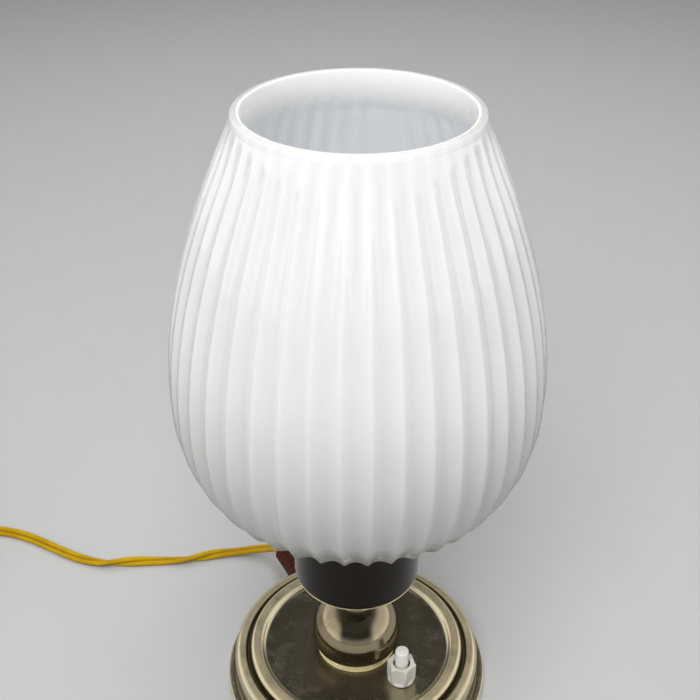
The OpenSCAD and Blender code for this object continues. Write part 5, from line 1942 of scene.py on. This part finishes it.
@dataclass
class LampholderAndBulb:
    """The lampholder with the ring that holds the glass, and the bulb in it."""

    holder_r: float = 19.8
    shell_z: float = 91.1
    shell_h: float = 42.0
    shell_wall: float = 2.4
    mouth_r: float = 14.8
    ring_r: float = 28.5
    ring_z: float = 116.8
    ring_t: float = 3.2
    skirt_w: float = 2.4
    skirt_h: float = 3.0
    bulb_r: float = 29.0
    bulb_z: float = 171.45
    bulb_neck_r: float = 12.4
    bulb_low: float = 102.45
    bulb_cap_r: float = 13.05
    bulb_cap_z: float = 98.45
    bulb_cap_h: float = 22.0

    def build(self) -> None:
        """Makes the pieces that show from above and dresses the rest."""
        place(self.shell(), Finishes.BAKELITE, Slot.BAKELITE, "lampholder_shell")
        place(self.shade_ring(), Finishes.BAKELITE, Slot.BAKELITE, "shade_ring")
        place(self.bulb(), Finishes.FROST, Slot.BULB_GLASS, "bulb_glass")
        place(self.bulb_cap(), Finishes.ALUMINIUM, Slot.BULB_METAL, "bulb_cap")
        dress_nodes(Finishes.BAKELITE, "lampholder_cap", "bulb_base")
        dress_nodes(Finishes.PORCELAIN, "lampholder_insert")
        dress_nodes(Finishes.BRASS, "screw_shell", "centre_contact", "terminal_screws", "bulb_contact")

    def shell(self) -> Thing:
        """The outer shell, with the turns of its thread above the ring.

        Returns:
            The new object.
        """
        r, top, inner = self.holder_r, self.shell_z + self.shell_h, self.holder_r - self.shell_wall
        line = [(inner, self.shell_z), (r, self.shell_z), (r, self.shell_z + 10.0)]
        pitch, depth, soft, mouth, mouth_soft = 2.2, 0.7, 1.2, self.mouth_r, 0.6
        z = self.ring_z + self.ring_t + self.skirt_h + 0.6
        while z + pitch < top - 1.4:
            line += [(r, z), (r, z + 0.5), (r - depth, z + 1.0), (r - depth, z + 1.5)]
            z += pitch
        line += [(r, z)] + bend((r, top - soft), (r, top), (r - soft, top), 4)
        line += bend((mouth + mouth_soft, top), (mouth, top), (mouth, top - mouth_soft), 4)
        line += [(mouth, top - 2.6), (inner, top - 4.1)]
        return lathe(line, 128).made("holder_shell", 30.0)

    def shade_ring(self) -> Thing:
        """The ring that holds the glass down, with finger notches round its edge.

        Returns:
            The new object.
        """
        bore, z0, z1 = self.holder_r + 0.15, self.ring_z, self.ring_z + self.ring_t
        top = z1 + self.skirt_h
        corners = [(bore, z0, 0.0), (self.ring_r, z0, 0.5), (self.ring_r, z1, 0.9)]
        corners += [(bore + self.skirt_w, z1, 0.6), (bore + self.skirt_w, top, 0.5), (bore, top, 0.3)]
        shape = lathe(rounded(corners, 4), 240)
        notches, depth = 24, 0.8
        points: list[Vec] = []
        for x, y, z in shape.points:
            r = math.hypot(x, y)
            wave = max(0.0, math.cos(notches * math.atan2(y, x))) ** 3
            cut = depth * wave * smooth((r - self.ring_r + 1.2) / 1.0)
            points.append((x * (r - cut) / r, y * (r - cut) / r, z))
        return Shape(points, shape.faces).made("glass_ring", 40.0)

    def bulb(self) -> Thing:
        """The frosted bulb, a ball that draws in to its neck.

        Returns:
            The new object.
        """
        low, glass = 38.0, 0.8
        r, neck = self.bulb_r, self.bulb_neck_r
        foot = self.bulb_cap_z + self.bulb_cap_h
        x, z = r * math.cos(math.radians(low)), self.bulb_z - r * math.sin(math.radians(low))
        control = (neck, z - (x - neck) * math.tan(math.radians(90 - low)))

        def line(shrink: float) -> list[Point]:
            """The bulb's outline, drawn in by the thickness of its glass.

            Args:
                shrink: How far it is drawn in.

            Returns:
                Radius and height of each point.
            """
            points = [(neck, self.bulb_low), (neck, foot)]
            points += bend((neck, foot), control, (x, z), 16)[1:-1]
            points += arc(0.0, self.bulb_z, r, -low, 90, 40)
            return [(max(0.0, p - shrink), q) for p, q in points[:-1]] + [(0.0, self.bulb_z + r - shrink)]

        inside = [(p, q) for p, q in line(glass) if p > 0.3 or q > self.bulb_z]
        return lathe(line(0.0)[::-1] + inside, 128).made("bulb_envelope")

    def bulb_cap(self) -> Thing:
        """The bulb's screw cap, with rolled turns of thread.

        Returns:
            The new object.
        """
        r, z0, h = self.bulb_cap_r, self.bulb_cap_z, self.bulb_cap_h
        steps, turns, depth, wall = 84, 4.5, 0.75, 1.3
        line: list[Point] = [(r - wall, z0)]
        for i in range(steps + 1):
            t = i / steps
            roll = 0.5 - 0.5 * math.cos(2 * math.pi * turns * t)
            line.append((r - depth * roll * smooth((0.84 - t) / 0.08), z0 + h * t))
        line += [(r - 0.5, z0 + h), (r - wall, z0 + h - 4.0)]
        return lathe(line, 96).made("bulb_screw_cap")


@dataclass
class PushSwitch:
    """The push switch on the plate: its cap nut, its button and what is under the plate."""

    nut_af: float = 12.0
    nut_turn: float = -15.0
    nut_corner: float = 0.85
    nut_hole: float = 3.95
    nut_bore: float = 5.15
    nut_top: float = 1.5
    nut_foot: float = 6.45
    chamfer: float = 0.6
    button_r: float = 3.1
    button_low: float = 11.4
    flange_t: float = 1.5
    flange_r: float = 4.4
    travel: float = 2.5
    spring_wire: float = 0.25
    spring_turns: int = 3
    ribs: float = 20.0
    rib_depth: float = 0.14
    panel_depth: float = 0.34
    panel_half: float = 23.0
    panel_soft: float = 3.0
    at: Point = field(init=False)
    nut_z: float = field(init=False)
    nut_h: float = field(init=False)
    button_z: float = field(init=False)

    def __post_init__(self) -> None:
        """Takes the switch's place and heights from the frame."""
        low, high = (Vector(corner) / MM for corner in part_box("switch_nut"))
        push_low, push_high = (Vector(corner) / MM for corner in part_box("switch_button"))
        middle = (push_low + push_high) / 2
        self.at = (middle.x, middle.y)
        self.nut_z = low.z
        self.nut_h = high.z - low.z
        self.button_z = push_high.z

    def build(self) -> None:
        """Makes the nut, the button and its spring, and dresses the rest."""
        place(self.nut(), Finishes.NUT, Slot.WHITE, "switch_nut")
        place(self.button(), Finishes.WHITE, Slot.WHITE, "switch_button", body=Body.BUTTON)
        dress_nodes(Finishes.BAKELITE, "switch_body", "switch_base")
        dress_nodes(Finishes.BRASS, "switch_terminals")
        low, high = (Vector(corner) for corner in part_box("switch_spring"))
        spring = place(self.spring(low / MM, high / MM), Finishes.STEEL, Slot.STEEL, "switch_spring")
        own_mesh(spring)

    def spring(self, low: Vector, high: Vector) -> Thing:
        """The return spring, wound to fill its box.

        Args:
            low: Low corner of its box.
            high: High corner of its box.

        Returns:
            The wound wire.
        """
        wire, steps = self.spring_wire, 32 * self.spring_turns
        r = (high.x - low.x) / 2 - wire
        path: list[tuple[float, ...]] = []
        for i in range(steps + 1):
            turn = 2 * math.pi * self.spring_turns * i / steps
            z = low.z + wire + (high.z - low.z - 2 * wire) * i / steps
            path.append((self.at[0] + r * math.cos(turn), self.at[1] + r * math.sin(turn), z, 0.0))
        return sweep(path, arc(0.0, 0.0, wire, 0, 330, 11)).made("switch_return_spring", 60.0)

    def hexagon(self, z: float, limit: float, foot: float) -> Ring:
        """One ring of the nut's outside.

        Args:
            z: Height.
            limit: Radius at which the corners are cut off.
            foot: Share of the round foot, from 0 on the six flats to 1.

        Returns:
            The ring's points, with fine upright grooves on the flats.
        """
        points: Ring = []
        count, soft = 384, 0.2
        for k in range(count):
            turn = 360 * k / count
            away = (turn - self.nut_turn) % 60 - 30
            r = self.nut_af / 2 / math.cos(math.radians(away))
            gap = limit - r
            r = limit - (gap + math.sqrt(gap * gap + soft * soft)) / 2 + soft * 0.35
            panel = smooth((self.panel_half - abs(away)) / self.panel_soft)
            wave = 0.5 - 0.5 * math.cos(math.radians(2 * self.ribs * away))
            r -= panel * (self.panel_depth + self.rib_depth * wave)
            r += (min(limit, self.nut_foot) - r) * foot
            a = math.radians(turn)
            points.append((r * math.cos(a), r * math.sin(a), z))
        return points

    def nut(self) -> Thing:
        """The cap nut: six grooved flats between a round foot and a bevelled top with a hole.

        Returns:
            The new object.
        """
        z0, h = self.nut_z, self.nut_h
        corner = self.nut_af / 2 + self.nut_corner
        low = ((0.0, 0.55, 1.0), (0.15, 0.25, 1.0), (0.4, 0.06, 1.0), (0.8, 0.0, 1.0), (1.3, 0.0, 0.75))
        low += ((1.7, 0.0, 0.25), (2.0, 0.0, 0.0))
        cut = self.chamfer
        high = ((h - cut, 0.0, 0.0), (h - cut * 0.6, 0.06, 0.0), (h - cut * 0.25, 0.2, 0.08), (h, cut, 0.3))
        rings: list[Ring] = []
        for z, inset, foot in (*low, (h / 2, 0.0, 0.0), *high):
            limit = (self.nut_foot if foot == 1.0 and z < h / 2 else corner) - inset
            rings.append(self.hexagon(z0 + z, limit, foot))
        hole, under, count = self.nut_hole, h - self.nut_top, len(rings[0])
        bore = [(hole + 0.45, h), (hole + 0.1, h - 0.12), (hole, h - 0.4)]
        bore += [(hole, under), (self.nut_bore, under), (self.nut_bore, 0.0)]
        shape = skin(rings + [circle(r, z0 + z, count) for r, z in bore], True)
        return shape.moved(Matrix.Translation((*self.at, 0))).made("switch_cap_nut", 28.0)

    def button(self) -> Thing:
        """The button: a round pin with a softly domed top and a flange that keeps it in.

        Returns:
            The new object.
        """
        r, top, low = self.button_r, self.button_z, self.button_low

        def dirt(_: float, z: float) -> float:
            """Dirt where the button comes out of the nut."""
            return 0.6 * smooth(self.nut_z + self.nut_h + 1.0 - z)

        line: list[Point] = [(0.0, low - 0.8), (1.8, low - 0.8), (1.8, low), (self.flange_r, low)]
        line += [(self.flange_r, low + self.flange_t), (r, low + self.flange_t), (r, top - 2.4)]
        line += [(r, top - 1.1)] + bend((r, top - 1.1), (r, top - 0.35), (r - 0.75, top - 0.3), 8)[1:]
        line += bend((r - 0.95, top - 0.34), (r * 0.45, top), (0.0, top), 8)
        shape = lathe(line, 96, recess=dirt)
        return shape.moved(Matrix.Translation((*self.at, 0))).made("switch_push", 40.0)


@dataclass
class Wiring:
    """The leads inside the foot and the stem."""

    def build(self) -> None:
        """Dresses the three leads."""
        dress_nodes(Finishes.BROWN, "live_lead")
        dress_nodes(Finishes.BLACK, "switched_lead")
        dress_nodes(Finishes.BLUE, "neutral_lead")


def main() -> None:
    """Builds the scene, the camera and the flex first."""
    logging.basicConfig(level=logging.INFO, format="%(name)s: %(message)s")
    parts = (Studio(), Flex(), GlassShade(), Foot(), Stem(), LampholderAndBulb(), PushSwitch(), Wiring())
    for part in parts:
        part.build()
        log.info("%s done", type(part).__name__)


if __name__ == "__main__":
    main()
